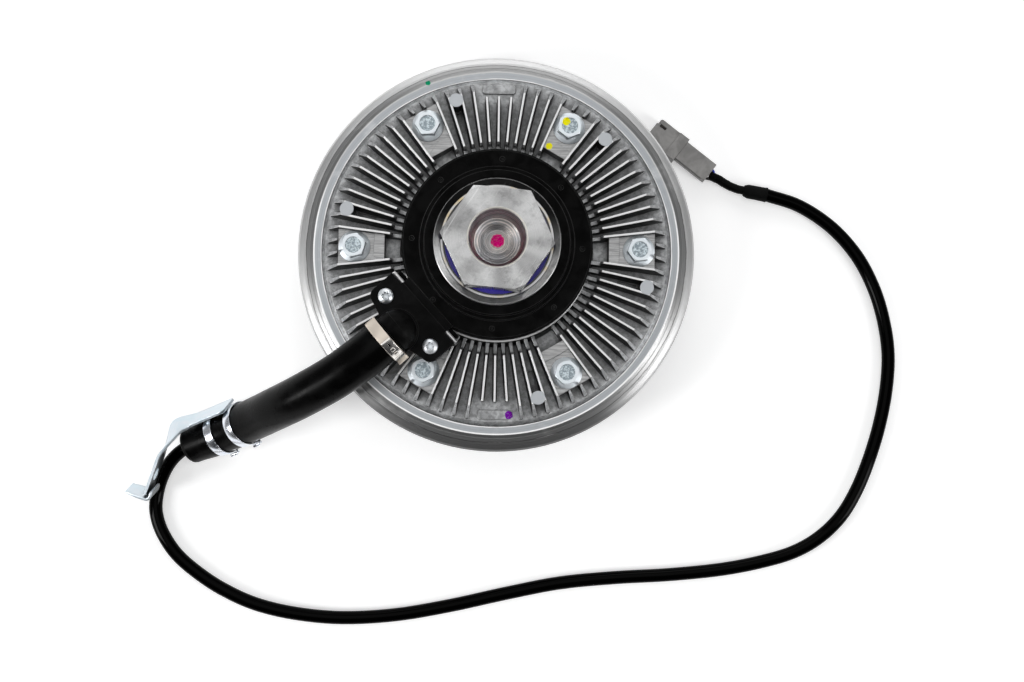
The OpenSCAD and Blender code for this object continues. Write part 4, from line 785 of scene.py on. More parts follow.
class Palette:
    """Every finish of the clutch."""

    CAST_REAR = CastMetal("cast_rear_housing", "cast_aluminium", grey(0.55, 0.015), 0.4, 0.85,
                          edge=0.45, relief=0.05, machined=(72.0, 73.8), machined_colour=grey(0.42),
                          shade=0.95, wall=0.9, tips=75.5, posts=POST_ANGLES, dots=(
                              PaintDot((0.0332, 0.0725, 0.0738), 2.4 * MM, YELLOW_PAINT),
                              PaintDot((0.013, -0.1132, 0.0614), 3.1 * MM, PURPLE_PAINT)))
    CAST_FRONT = RolledRim("cast_front_cover", "cast_aluminium", grey(0.42, 0.015), 0.46, 0.85,
                           edge=0.7, relief=0.05, machined=(0.0, 3.0), zones=(
                               Zone(121.5, grey(0.05), 0.5), Zone(122.4, grey(0.95), 0.34),
                               Zone(126.5, grey(0.47, 0.05), 0.42), Zone(127.5, grey(0.55), 0.34),
                               Zone(132.3, grey(0.32, 0.0), 0.36), Zone(132.8, grey(0.1), 0.45),
                               Zone(140.0, grey(0.56), 0.44)),
                           dots=(PaintDot((-0.0528, 0.1171, 0.057), 1.8 * MM, GREEN_PAINT),))
    ROTOR = CastMetal("cast_rotor", "turned_aluminium", grey(0.5), 0.4, 0.9, edge=0.4, relief=0.03)
    SHAFT = TurnedMetal("turned_shaft", "ground_steel", grey(0.6), 0.3, edge=0.35,
                        anisotropic=0.75, bowl=19.0, sheen_fans=0.6, shade_below=107.4, lip=19.45,
                        dots=(PaintDot((0.0002, 0.0008, 0.106), 4.6 * MM, PINK_PAINT),))
    POLE = TurnedMetal("machined_pole_ring", "ground_steel", grey(0.5), 0.36, edge=0.4,
                       stain=0.6, anisotropic=0.2, lean=0.3, painted_side_shade=0.96)
    RACE = TurnedMetal("ground_race", "ground_steel", grey(0.66), 0.2, rings=9000.0, stain=0.1)
    # Painted shade: coil bearing races dark grey, for the gap round the foot of the hexagon.
    SHADE_DARK_RACE = TurnedMetal("shade_dark_race", "ground_steel", grey(0.09), 0.3, rings=9000.0,
                             edge=0.5, stain=0.3)
    DARK_STEEL = TurnedMetal("phosphated_steel", "dark_steel", grey(0.13), 0.42, 0.9, stain=0.2)
    SPRING_STEEL = TurnedMetal("spring_steel", "dark_steel", grey(0.22), 0.35, stain=0.2)
    BRASSY_CLIP = TurnedMetal("brassy_circlip", "yellow_zinc", grey(0.55), 0.32, stain=0.9,
                              stain_colour=(0.6, 0.46, 0.22, 1.0))
    CHROME = TurnedMetal("ball_steel", "ball_chrome", grey(0.78), 0.08, stain=0.05,
                         ring_relief=0.001, anisotropic=0.0)
    CAGE = TurnedMetal("pressed_cage", "cage_brass", (0.62, 0.42, 0.18, 1.0), 0.35, stain=0.2)
    ZINC = PlatedSteel("blue_zinc", "zinc_steel", grey(0.78, 0.06), 0.24, edge=0.35, relief=0.01)
    BOLT_ZINC = PlatedSteel("bolt_zinc", "zinc_steel", grey(0.9, 0.04), 0.3, edge=0.35,
                            tint=(0.86, 0.92, 0.95, 1.0), relief=0.004, crown=(78.5, 81.5),
                            grime_and_shade=0.1, dots=(
                                PaintDot((0.0440, 0.0886, 0.0808), 2.9 * MM, YELLOW_PAINT),))
    BAND_ZINC = PlatedSteel("band_zinc", "zinc_steel", grey(0.85, 0.03), 0.22,
                            tint=(0.72, 0.76, 0.84, 1.0), edge=0.2, relief=0.006)
    STRIP_ZINC = PlatedSteel("strip_zinc", "zinc_steel", grey(0.76, 0.06), 0.36, 0.9,
                             tint=(0.62, 0.72, 0.78, 1.0), edge=0.3, relief=0.01, sides=0.85)
    STAINLESS = PlatedSteel("warm_stainless", "clamp_steel", (0.78, 0.71, 0.62, 1.0), 0.5,
                            tint=(0.7, 0.62, 0.54, 1.0), edge=0.2, relief=0.006)
    POLISHED = PlatedSteel("polished_stainless", "clamp_steel", (0.9, 0.87, 0.84, 1.0), 0.16,
                           tint=(0.7, 0.67, 0.62, 1.0), edge=0.2, relief=0.02)
    SCREW_ZINC = PlatedSteel("screw_zinc", "zinc_steel", grey(0.88, 0.03), 0.42,
                             tint=(0.78, 0.82, 0.86, 1.0), edge=0.3, relief=0.004)
    PIN = TurnedMetal("ground_pin", "ground_steel", grey(0.85), 0.45, stain=0.1)
    COIL_SKIN = Moulded("coil_black", "black_plastic", grey(0.0008), 0.5, specular=0.035, edge=0.6,
                        relief=0.05, dust=0.03, edge_highlight=0.6)
    ARM_SKIN = Moulded("arm_black", "black_plastic", grey(0.001), 0.42, specular=0.05, edge=0.6,
                       relief=0.06, dust=0.03, edge_highlight=0.3)
    SENSOR_SKIN = Moulded("sensor_black", "black_plastic", grey(0.02), 0.4)
    POTTING = Moulded("potting", "black_plastic", grey(0.03), 0.35)
    GREY_PLASTIC = Moulded("plug_grey", "grey_plastic", (0.2, 0.195, 0.19, 1.0), 0.48, edge=0.5,
                           relief=0.04, dust=0.05, dust_colour=grey(0.6))
    ORANGE_PLASTIC = Moulded("wedge_orange", "orange_plastic", (0.7, 0.2, 0.03, 1.0), 0.4)
    ORANGE_RUBBER = Moulded("wire_seal", "orange_rubber", (0.62, 0.14, 0.04, 1.0), 0.6)
    BLUE_SEAL = Moulded("bearing_seal_blue", "blue_rubber", (0.035, 0.022, 0.34, 1.0), 0.35,
                        edge=0.2, dust=0.05)
    SEAL = Moulded("soft_seal", "seal_rubber", grey(0.02), 0.55)
    SLEEVE = Moulded("shrink_sleeve", "cable_jacket", grey(0.002), 0.6, specular=0.06, edge=0.3,
                     relief=0.06, grain=1500.0, dust=0.03)
    COPPER = TurnedMetal("copper_winding", "copper_wire", (0.72, 0.32, 0.14, 1.0), 0.3,
                         rings=3000.0, ring_relief=0.2, stain=0.1)
    CONTACT = TurnedMetal("pressed_contact", "contact_brass", (0.75, 0.56, 0.2, 1.0), 0.25)
    HOSE = DrawnRubber("hose_rubber", "black_rubber", grey(0.0008), 0.3, specular=0.06, relief=0.02)
    CABLE = DrawnRubber("glossy_jacket", "cable_jacket", grey(0.0004), 0.1, specular=0.04,
                        relief=0.002, rub=0.0)
    TAPE = DrawnRubber("lead_tape", "cable_jacket", grey(0.0012), 0.5, specular=0.06, relief=0.05,
                       lines=20.0)
    WIRE_BLUE = DrawnRubber("blue_insulation", "wire_blue", (0.012, 0.04, 0.5, 1.0), 0.32, relief=0.01)
    WIRE_BLACK = DrawnRubber("wire_black", "wire_blue", grey(0.012), 0.32, relief=0.01)
    HOSE_PLUG = Moulded("hose_plug", "black_rubber", grey(0.0015), 0.5, specular=0.1, dust=0.03)


def dress(piece: Piece, finish: Finish) -> None:
    """Gives a piece one finish."""
    piece.data.materials.clear()
    piece.data.materials.append(finish.material())


def fit(piece: Piece, finish: Finish, replaced: str = "") -> Piece:
    """Dresses a new piece and lets it ride on the magnet.

    Args:
        piece: The new piece.
        finish: Its finish.
        replaced: CAD node whose place it takes.
    Returns:
        The piece.
    """
    dress(piece, finish)
    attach(piece, MAGNET_BODY)
    if replaced:
        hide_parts(replaced)
    return piece


def linked(name: str, data: bpy.types.ID) -> Piece:
    """Adds an object that holds the data to the scene."""
    made = bpy.data.objects.new(name, data)
    bpy.context.scene.collection.objects.link(made)
    return made


def finished(name: str, mesh: bmesh.types.BMesh) -> Piece:
    """Turns a mesh under construction into an object and frees it."""
    data = bpy.data.meshes.new(name)
    mesh.to_mesh(data)
    mesh.free()
    return linked(name, data)


def cad(name: str) -> Piece:
    """The CAD node of that name."""
    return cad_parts[name]


def round_edges(piece: Piece, width: float) -> None:
    """Welds a CAD mesh and bevels its sharp edges with modifiers.

    Args:
        piece: The CAD node.
        width: Width of the bevel in millimetres.
    """
    weld = piece.modifiers.new("weld", "WELD")
    weld.merge_threshold = 0.002 * MM
    bevel = piece.modifiers.new("edges", "BEVEL")
    bevel.width = width * MM
    bevel.segments = 2
    bevel.limit_method = "ANGLE"
    bevel.angle_limit = math.radians(35)
    bevel.harden_normals = True


def curve_through(points: Sequence[Vector], steps: int) -> list[Vector]:
    """Smooth curve through points.

    Args:
        points: The points that the curve passes.
        steps: Steps between neighbours.
    Returns:
        Points of the curve, the given ones among them.
    """
    ends = [2 * points[0] - points[1], *points, 2 * points[-1] - points[-2]]
    made = []
    for a, b, c, d in zip(ends, ends[1:], ends[2:], ends[3:]):
        for step in range(steps):
            t = step / steps
            made.append(0.5 * (2 * b + (c - a) * t + (2 * a - 5 * b + 4 * c - d) * t * t
                               + (3 * b - a - 3 * c + d) * t ** 3))
    return [*made, points[-1]]


def directions(path: Sequence[Vector]) -> list[Vector]:
    """Unit direction of a path at each of its points."""
    last = len(path) - 1
    return [(path[min(i + 1, last)] - path[max(i - 1, 0)]).normalized() for i in range(last + 1)]


def loft(name: str, rings: Sequence[Sequence[Vector]], sharp: float = 40.0) -> Piece:
    """Skins closed rings of equal count into one solid.

    Args:
        name: Name of the piece.
        rings: Points of each ring, in metres.
        sharp: Angle in degrees above which an edge stays sharp.
    Returns:
        The new object, with UV coordinates round the ring and along the length in metres.
    """
    mesh = bmesh.new()
    rows = [[mesh.verts.new(p) for p in ring] for ring in rings]
    count = len(rows[0])
    uv = mesh.loops.layers.uv.new("UVMap")
    travelled = 0.0
    for low, high in zip(rows, rows[1:]):
        step = sum((h.co - l.co).length for l, h in zip(low, high)) / count
        for i in range(count):
            j = (i + 1) % count
            face = mesh.faces.new((low[i], low[j], high[j], high[i]))
            places = ((i, 0.0), (i + 1, 0.0), (i + 1, step), (i, step))
            for corner, (turn, more) in zip(face.loops, places):
                corner[uv].uv = (turn / count, travelled + more)
        travelled += step
    mesh.faces.new(list(reversed(rows[0])))
    mesh.faces.new(rows[-1])
    bmesh.ops.recalc_face_normals(mesh, faces=mesh.faces)
    made = finished(name, mesh)
    made.data.shade_smooth()
    made.data.set_sharp_from_angle(angle=math.radians(sharp))
    return made


def joined(name: str, pieces: Iterable[Piece]) -> Piece:
    """Joins meshes into one piece.

    Args:
        name: Name of the piece.
        pieces: Objects at the origin, which are used up.
    Returns:
        The joined object.
    """
    pieces = list(pieces)
    with bpy.context.temp_override(active_object=pieces[0], selected_editable_objects=pieces):
        bpy.ops.object.join()
    pieces[0].name = name
    return pieces[0]


def tube_rings(path: Sequence[Vector], radius: Callable[[int, float], float],
               sides: int) -> list[list[Vector]]:
    """Rings of a round tube along a path.

    Args:
        path: Centreline.
        radius: Radius at a point's index and an angle, in metres.
        sides: Points of a ring.
    Returns:
        The rings, whose first point lies to the side and whose upper half looks up.
    """
    rings = []
    for i, (centre, ahead) in enumerate(zip(path, directions(path))):
        side = ahead.cross(UP).normalized()
        over = side.cross(ahead)
        angles = [math.tau * k / sides for k in range(sides)]
        rings.append([centre + radius(i, a) * (math.cos(a) * side + math.sin(a) * over)
                      for a in angles])
    return rings


def strap_section(width: float, thickness: float, corner: float) -> list[Pair]:
    """Rounded rectangle.

    Args:
        width: Size along its first axis.
        thickness: Size along its second axis.
        corner: Radius of its corners.
    Returns:
        Points round it, anticlockwise.
    """
    points = []
    for turn, (sx, sy) in enumerate(((1, 1), (-1, 1), (-1, -1), (1, -1))):
        for step in range(4):
            x, y = polar(corner, math.radians(90 * turn + 30 * step))
            points.append((sx * (width / 2 - corner) + x, sy * (thickness / 2 - corner) + y))
    return points


def axes_along(ahead: Vector) -> Matrix:
    """Turns +Z onto a direction, first about Y and then about Z, as the CAD source does."""
    return (Matrix.Rotation(math.atan2(ahead.y, ahead.x), 3, "Z")
            @ Matrix.Rotation(math.acos(ahead.z), 3, "Y"))


HOSE_ROUTE = [mm(*p) for p in (
    (-67.5, -64.1, 108.5), (-79.9, -75.6, 107.8), (-91.3, -84.6, 105.3), (-104.1, -93.7, 100.5),
    (-117.9, -101.7, 93), (-131.6, -108.7, 82.4), (-145.2, -114.7, 68.2), (-158.8, -120.4, 51.6),
    (-173.2, -126.5, 37.1), (-188.1, -132.8, 25.8), (-201.3, -138.2, 18.6), (-212, -142.6, 14.7))]
CABLE_D = 9.6 * MM
CABLE_Z = 4.9
CABLE_ROUTE = [
    mm(-222, -148.5, 11.2), mm(-229, -156, 8.4), mm(-234.5, -166.5, 6.2), mm(-237.7, -179, 5.1),
    *(mm(x, y, CABLE_Z) for x, y in (
        (-237.8, -192), (-232.5, -206.5), (-221.5, -221.5), (-206, -234), (-187, -245.3),
        (-163, -255), (-134, -260.7), (-100, -262.5), (-62, -259), (-23, -251), (16, -241),
        (55, -232), (95, -226.7), (135, -223), (173, -217.7), (203, -210.7), (225, -203),
        (243, -191.8), (257.8, -176.5), (268.8, -157.3), (277.5, -134.5), (284.5, -109.5),
        (289, -83), (290, -57), (286, -32), (278, -8), (265, 15), (246, 35))),
    mm(222, 49.8, 5.1), mm(197, 57, 5.6),
]


@dataclass(frozen=True)
class Softbox:
    """A lamp: its name, place, width and height in metres, and power in watts."""

    name: str
    place: tuple[float, float, float]
    size: Pair
    power: float


@dataclass
class Studio:
    """Camera, lights and floor."""

    camera_place: Vector = field(default_factory=lambda: Vector((-0.00216, -0.12882, 1.04129)))
    camera_turn: tuple[float, float, float] = (3.855, -1.04, 2.225)
    lens: float = 50.0
    sensor: float = 36.0
    floor_size: float = 40.0
    floor_drop: float = 0.02 * MM
    floor_glow: float = 0.42
    lit: Vector = field(default_factory=lambda: Vector((0.0, -0.05, 0.03)))
    lamps: tuple[Softbox, ...] = (
        Softbox("overhead_softbox", (-0.1, 0.25, 1.85), (1.7, 1.7), 8.5),
        Softbox("left_softbox", (-1.27, -0.59, 0.9), (0.35, 1.0), 14.0),
        Softbox("right_softbox", (1.27, -0.55, 0.8), (0.35, 1.0), 9.0),
        Softbox("back_softbox", (0.0, 1.5, 0.85), (1.6, 0.7), 8.0))

    def build(self) -> None:
        """Makes everything that isn't the object."""
        self._camera()
        self._floor()
        self._world()
        for lamp in self.lamps:
            self._lamp(lamp)
        bpy.context.scene.view_settings.view_transform = "Standard"

    def _camera(self) -> None:
        """The photograph's view."""
        data = bpy.data.cameras.new("camera")
        data.lens, data.sensor_width = self.lens, self.sensor
        data.clip_start, data.clip_end = 0.01, 80.0
        camera = linked("camera", data)
        camera.location = self.camera_place
        camera.rotation_euler = [math.radians(a) for a in self.camera_turn]
        bpy.context.scene.camera = camera

    def _floor(self) -> None:
        """A plain white table, which shows as white and keeps the object's shadow."""
        mesh = bmesh.new()
        bmesh.ops.create_grid(mesh, x_segments=2, y_segments=2, size=self.floor_size / 2)
        floor = finished("table_top", mesh)
        floor.location.z = -self.floor_drop
        made = bpy.data.materials.new("white_table")
        made.use_nodes = True
        graph = Graph(made.node_tree)
        shader = made.node_tree.nodes["Principled BSDF"]
        for name, value in (("Base Color", grey(0.8)), ("Roughness", 0.9),
                            ("Specular IOR Level", 0.0), ("Emission Color", grey(1.0))):
            shader.inputs[name].default_value = value
        rays = graph.node("ShaderNodeLightPath")
        seen = graph.math("ADD", rays.outputs["Is Camera Ray"], rays.outputs["Is Glossy Ray"])
        seen = graph.math("ADD", seen, rays.outputs["Is Transmission Ray"], clamp=True)
        graph.feed(shader.inputs["Emission Strength"], graph.times(seen, self.floor_glow))
        floor.data.materials.append(made)

    def _world(self) -> None:
        """Soft surround, bright behind the table and dark in front of it."""
        world = bpy.data.worlds.new("surround")
        world.use_nodes = True
        graph = Graph(world.node_tree)
        background = world.node_tree.nodes["Background"]
        depth = graph.parts(graph.node("ShaderNodeTexCoord").outputs["Generated"])[1]
        graph.feed(background.inputs["Color"], graph.mix(
            graph.span(depth, -0.7, 0.8), grey(0.05, 0.02), grey(0.34, 0.01)))
        background.inputs["Strength"].default_value = 1.0
        bpy.context.scene.world = world

    def _lamp(self, box: Softbox) -> None:
        """Sets up a softbox that looks at the object."""
        data = bpy.data.lights.new(box.name, "AREA")
        data.shape = "RECTANGLE"
        data.size, data.size_y = box.size
        data.energy = box.power
        lamp = linked(box.name, data)
        lamp.location = box.place
        lamp.rotation_euler = (self.lit - Vector(box.place)).to_track_quat("-Z", "Y").to_euler()


@dataclass(frozen=True)
class Frame:
    """A place with three axes, in which a strip or a strap is drawn."""

    origin: Vector
    x: Vector
    y: Vector
    z: Vector

    @classmethod
    def along(cls, origin: Vector, ahead: Vector) -> "Frame":
        """A frame whose Z axis looks ahead."""
        return cls(origin, *(axis.copy() for axis in axes_along(ahead).col))

    def point(self, x: float, y: float, z: float) -> Vector:
        """A point given in the frame's axes, in metres."""
        return self.origin + x * self.x + y * self.y + z * self.z

    def angle_of(self, direction: Vector) -> float:
        """Angle round Z, from X, at which a direction lies."""
        return math.atan2(direction.dot(self.y), direction.dot(self.x))


def strap(name: str, plane: Frame, path: Sequence[Pair], width: float,
          thickness: float, corner: float = 0.25 * MM) -> Piece:
    """Bends a flat strap along a path in the X and Y plane of a frame.

    Args:
        name: Name of the piece.
        plane: The frame.
        path: Middle line of the strap, in metres.
        width: Width of the strap, along the frame's Z axis.
        thickness: Thickness of the strap.
        corner: Radius of the strap's long edges.
    Returns:
        The strap.
    """
    points = [Vector((x, y)) for x, y in path]
    last = len(points) - 1
    rings = []
    for i, here in enumerate(points):
        ahead = (points[min(i + 1, last)] - points[max(i - 1, 0)]).normalized()
        out = Vector((ahead.y, -ahead.x))
        shrink = 0.6 if i in (0, last) else 1.0
        rings.append([plane.point(here.x + v * shrink * out.x, here.y + v * shrink * out.y, u * (
            1 - 0.1 * (shrink < 1))) for u, v in strap_section(width, thickness, corner)])
    return loft(name, rings, sharp=50.0)


def arc_path(radius: float, start: float, stop: float, steps: int,
             centre: Pair = (0.0, 0.0)) -> list[Pair]:
    """Points of an arc in a plane, from one angle to another in radians."""
    turns = [start + (stop - start) * k / steps for k in range(steps + 1)]
    return [(centre[0] + x, centre[1] + y) for x, y in (polar(radius, a) for a in turns)]


@dataclass
class Tether:
    """Hose with its end plug, bands, ear clamp and bracket."""

    hose_d: float = 29.5 * MM
    end_d: float = 26.5 * MM
    play: float = 0.3 * MM
    band_t: float = 1.0 * MM
    band_w: float = 6.5 * MM
    band_places: tuple[float, ...] = (8.5, 9.65)
    band_shift: float = -0.5
    band_gap: float = math.radians(9)
    band_gap_side: Vector = field(default_factory=lambda: Vector((0.45, -0.75, -0.35)))
    curl: float = 1.7 * MM
    curl_turn: float = math.radians(30)
    clamp_t: float = 0.9 * MM
    clamp_w: float = 7.8 * MM
    clamp_place: float = 0.28
    ear_angle: float = math.radians(78)
    ear_foot: float = math.radians(9)
    ear_rise: float = 3.0 * MM
    overlap: float = math.radians(94)
    slot_turn: float = math.radians(80)
    hook_turns: Pair = (math.radians(48), math.radians(62))
    hook_len: float = math.radians(8)
    strip_t: float = 2.0 * MM
    strip_w: float = 18.0 * MM
    saddle_len: float = 31.0 * MM
    saddle_tilt: float = math.radians(25)
    strip_corner: float = 0.35 * MM
    bend_place: Vector = field(default_factory=lambda: mm(-222, -129.5, 25))
    bend_turn: Pair = (230, -42)
    foot_turn: Pair = (163, -21)
    bar_start: Vector = field(default_factory=lambda: mm(-232, -149.5, 23))
    bar_turn: float = math.radians(253.7)
    bar_len: float = 30.5 * MM
    hole_radius: float = 4.5 * MM
    foot_bend: float = 3 * MM
    sides: int = 64
    steps: int = 6

    def build(self) -> None:
        """Makes the hose and what sits on it."""
        hose = self._hose()
        carried = [self._bands(), *self._ear_clamp(), self._bracket()]
        dress(cad("hose_plug"), Palette.HOSE_PLUG)

    @staticmethod
    def at(place: float) -> Frame:
        """Frame on the hose's middle line.

        Args:
            place: Where, counted in points of the hose's route.
        Returns:
            The frame, whose Z axis runs along the hose.
        """
        first = int(place)
        a, b = HOSE_ROUTE[first], HOSE_ROUTE[first + 1]
        return Frame.along(a.lerp(b, place - first), (b - a).normalized())

    def _hose(self) -> Piece:
        """The hose, narrower at its squeezed end."""
        path = curve_through(HOSE_ROUTE, self.steps)
        last = len(path) - 1

        def radius(index: int, _angle: float) -> float:
            """Radius of the hose at a point of its path."""
            share = max(0.0, (index - (last - 2 * self.steps)) / (2 * self.steps))
            ease = share * share * (3 - 2 * share)
            return (self.hose_d * (1 - ease) + self.end_d * ease) / 2

        return fit(loft("tether_hose_skin", tube_rings(path, radius, self.sides)), Palette.HOSE,
                   "tether_hose")

    def _bands(self) -> Piece:
        """Two steel bands round the hose, whose ends curl out at the lower side."""
        made = []
        radius = self.hose_d / 2 + self.play + self.band_t / 2
        out = radius + self.curl
        for number, place in enumerate(self.band_places):
            plane = self.at(place + self.band_shift)
            gap = plane.angle_of(self.band_gap_side)
            begin, stop = gap + self.band_gap, gap + math.tau - self.band_gap
            path = arc_path(self.curl, begin + math.tau - self.curl_turn, begin + math.pi, 8,
                            polar(out, begin))
            path += arc_path(radius, begin, stop, 90)[1:]
            path += arc_path(self.curl, stop + math.pi, stop + self.curl_turn, 8,
                             polar(out, stop))[1:]
            made.append(strap(f"band_{number}", plane, path, self.band_w, self.band_t))
        return fit(joined("hose_bands", made), Palette.BAND_ZINC, "bracket_bands")

    def _ear_clamp(self) -> list[Piece]:
        """Stainless clamp: its turn with the pinched ear, and the polished overlap with its hooks."""
        plane = self.at(self.clamp_place)
        radius = self.hose_d / 2 + self.play + self.clamp_t / 2
        foot = self.ear_foot
        side = radius + self.ear_rise
        low, high = self.ear_angle - foot, self.ear_angle + foot
        turn = strap("clamp_turn", plane, arc_path(radius, high, low + math.tau, 96), self.clamp_w,
                     self.clamp_t)
        crest = arc_path(side + 0.4 * MM, self.ear_angle - foot * 0.5, self.ear_angle + foot * 0.5, 6)
        ear = [polar(radius, low), polar(side, low + foot * 0.25), *crest,
               polar(side, high - foot * 0.25), polar(radius, high)]
        made = [turn, strap("clamp_ear", plane, ear, self.clamp_w, self.clamp_t * 0.8)]
        outer = radius + self.clamp_t
        lap = arc_path(outer, high + 0.06, self.ear_angle + self.overlap, 36)
        over = strap("clamp_over", plane, lap, self.clamp_w * 0.94, self.clamp_t * 0.8)
        slot_at = self.ear_angle + self.slot_turn
        out = math.cos(slot_at) * plane.x + math.sin(slot_at) * plane.y
        slot = Frame(plane.origin + outer * out, plane.z.cross(out), plane.z, out)
        for piece in (over, turn):
            drilled(piece, slot, 0.7 * MM, 4 * MM, 2.2)
        lock = [over]
        for turn_to in self.hook_turns:
            begin = self.ear_angle + turn_to
            hook = arc_path(outer + 0.8 * self.clamp_t, begin, begin + self.hook_len, 5)
            lock.append(strap("clamp_hook", plane, hook, self.clamp_w * 0.36, self.clamp_t))
        return [fit(joined("ear_clamp_band", made), Palette.STAINLESS, "ear_clamp"),
                fit(joined("ear_clamp_overlap", lock), Palette.POLISHED)]

    def _saddle(self) -> tuple[Vector, Frame]:
        """Middle of the strip's flat part on the bands, and the frame of that part."""
        first, second = (self.at(place).origin for place in self.band_places)
        chord = Frame.along((first + second) / 2, (second - first).normalized())
        tilt = Matrix.Rotation(-self.saddle_tilt, 3, chord.z)
        frame_here = Frame(chord.origin, tilt @ chord.x, tilt @ chord.y, chord.z)
        radius = self.hose_d / 2 + 2 * self.play + self.band_t
        return chord.origin - (radius + self.strip_t / 2) * frame_here.y, frame_here

    def _bracket(self) -> Piece:
        """Bracket strip: flat on the bands, folded down to an upright bar with a hole, and a foot."""
        middle, saddle = self._saddle()
        across = -saddle.x
        bar = heading(self.bar_turn)
        bar_end = self.bar_start + self.bar_len * bar
        half = self.saddle_len / 2
        rings = []
        stations = folded([
            (middle - (half + 4 * MM) * saddle.z, across), (middle + (half + 1 * MM) * saddle.z, across),
            (self.bend_place, turned(*self.bend_turn) @ UP),
            (self.bar_start + 1 * MM * bar, UP), (bar_end, UP)], 4 * MM)
        line = [place for place, _ in stations]
        for i, (here, ahead) in enumerate(zip(line, directions(line))):
            wide = stations[i][1]
            wide = (wide - wide.dot(ahead) * ahead).normalized()
            flat = ahead.cross(wide)
            size = self.strip_w * (0.8 if i == 0 else 0.93 if i == 1 else 1.0)
            rings.append([here + u * wide + v * flat
                          for u, v in strap_section(size, self.strip_t, self.strip_corner)])
        strip = loft("bracket_strip_part", rings, sharp=50.0)
        hole = Frame.along(self.bar_start + self.bar_len / 2 * bar, left_of(bar))
        drilled(strip, hole, self.hole_radius, 6 * MM)
        foot = Frame(bar_end, *(axis.copy() for axis in turned(*self.foot_turn).col))
        bend = self.foot_bend
        hook = [(14 * MM, 0.0), (6 * MM, 0.0), (0.0, 0.0), (-1 * MM, 0.0)]
        hook += arc_path(bend, math.radians(90), math.radians(180), 8, (-1 * MM, -bend))[1:]
        hook += [(-1 * MM - bend, -bend - 2 * MM), (-1 * MM - bend, -bend - 4 * MM)]
        end = strap("bracket_foot_part", foot, hook, self.strip_w, self.strip_t, self.strip_corner)
        return fit(joined("bracket_strip", [strip, end]), Palette.STRIP_ZINC, "tether_bracket")


def folded(stations: Sequence[tuple[Vector, Vector]], reach: float, steps: int = 5
           ) -> list[tuple[Vector, Vector]]:
    """Straight runs of a strip with a small fold at each station between its ends.

    Args:
        stations: Middle of the strip and its width direction at each station.
        reach: Distance before and after a station over which the fold is spread.
        steps: Steps of a fold.
    Returns:
        Close stations along the strip.
    """
    made = [stations[0]]
    for before, here, after in zip(stations, stations[1:], stations[2:]):
        ends = []
        for other in (before, after):
            share = min(0.45, reach / (other[0] - here[0]).length)
            ends.append([a.lerp(b, share) for a, b in zip(here, other)])
        for step in range(steps + 1):
            t = step / steps
            made.append(tuple((1 - t) ** 2 * a + 2 * t * (1 - t) * b + t * t * c
                              for a, b, c in zip(ends[0], here, ends[1])))
    made.append(stations[-1])
    close = [made[0]]
    for a, b in zip(made, made[1:]):
        count = max(1, round((b[0] - a[0]).length / (2 * MM)))
        close += [(a[0].lerp(b[0], k / count), a[1].lerp(b[1], k / count)) for k in range(1, count + 1)]
    return close


def drilled(piece: Piece, place: Frame, radius: float, depth: float,
            stretch: float = 1.0) -> None:
    """Cuts a round hole or an oval slot through a piece.

    Args:
        piece: A new piece, whose mesh is changed.
        place: Middle of the hole, whose Z axis is the hole's direction.
        radius: Radius of the hole.
        depth: Length of the cut.
        stretch: How much longer the hole is along the frame's X axis.
    """
    mesh = bmesh.new()
    turn = Matrix((place.x, place.y, place.z)).transposed().to_4x4()
    bmesh.ops.create_cone(mesh, cap_ends=True, segments=48, radius1=radius, radius2=radius,
                          depth=depth, matrix=Matrix.Translation(place.origin) @ turn
                          @ Matrix.Diagonal((stretch, 1.0, 1.0, 1.0)))
    drill = finished("drill", mesh)
    cut = piece.modifiers.new("hole", "BOOLEAN")
    cut.operation, cut.object, cut.solver = "DIFFERENCE", drill, "EXACT"
    graph = bpy.context.evaluated_depsgraph_get()
    result = bpy.data.meshes.new_from_object(piece.evaluated_get(graph))
    piece.modifiers.clear()
    piece.data = result
    bpy.data.objects.remove(drill)


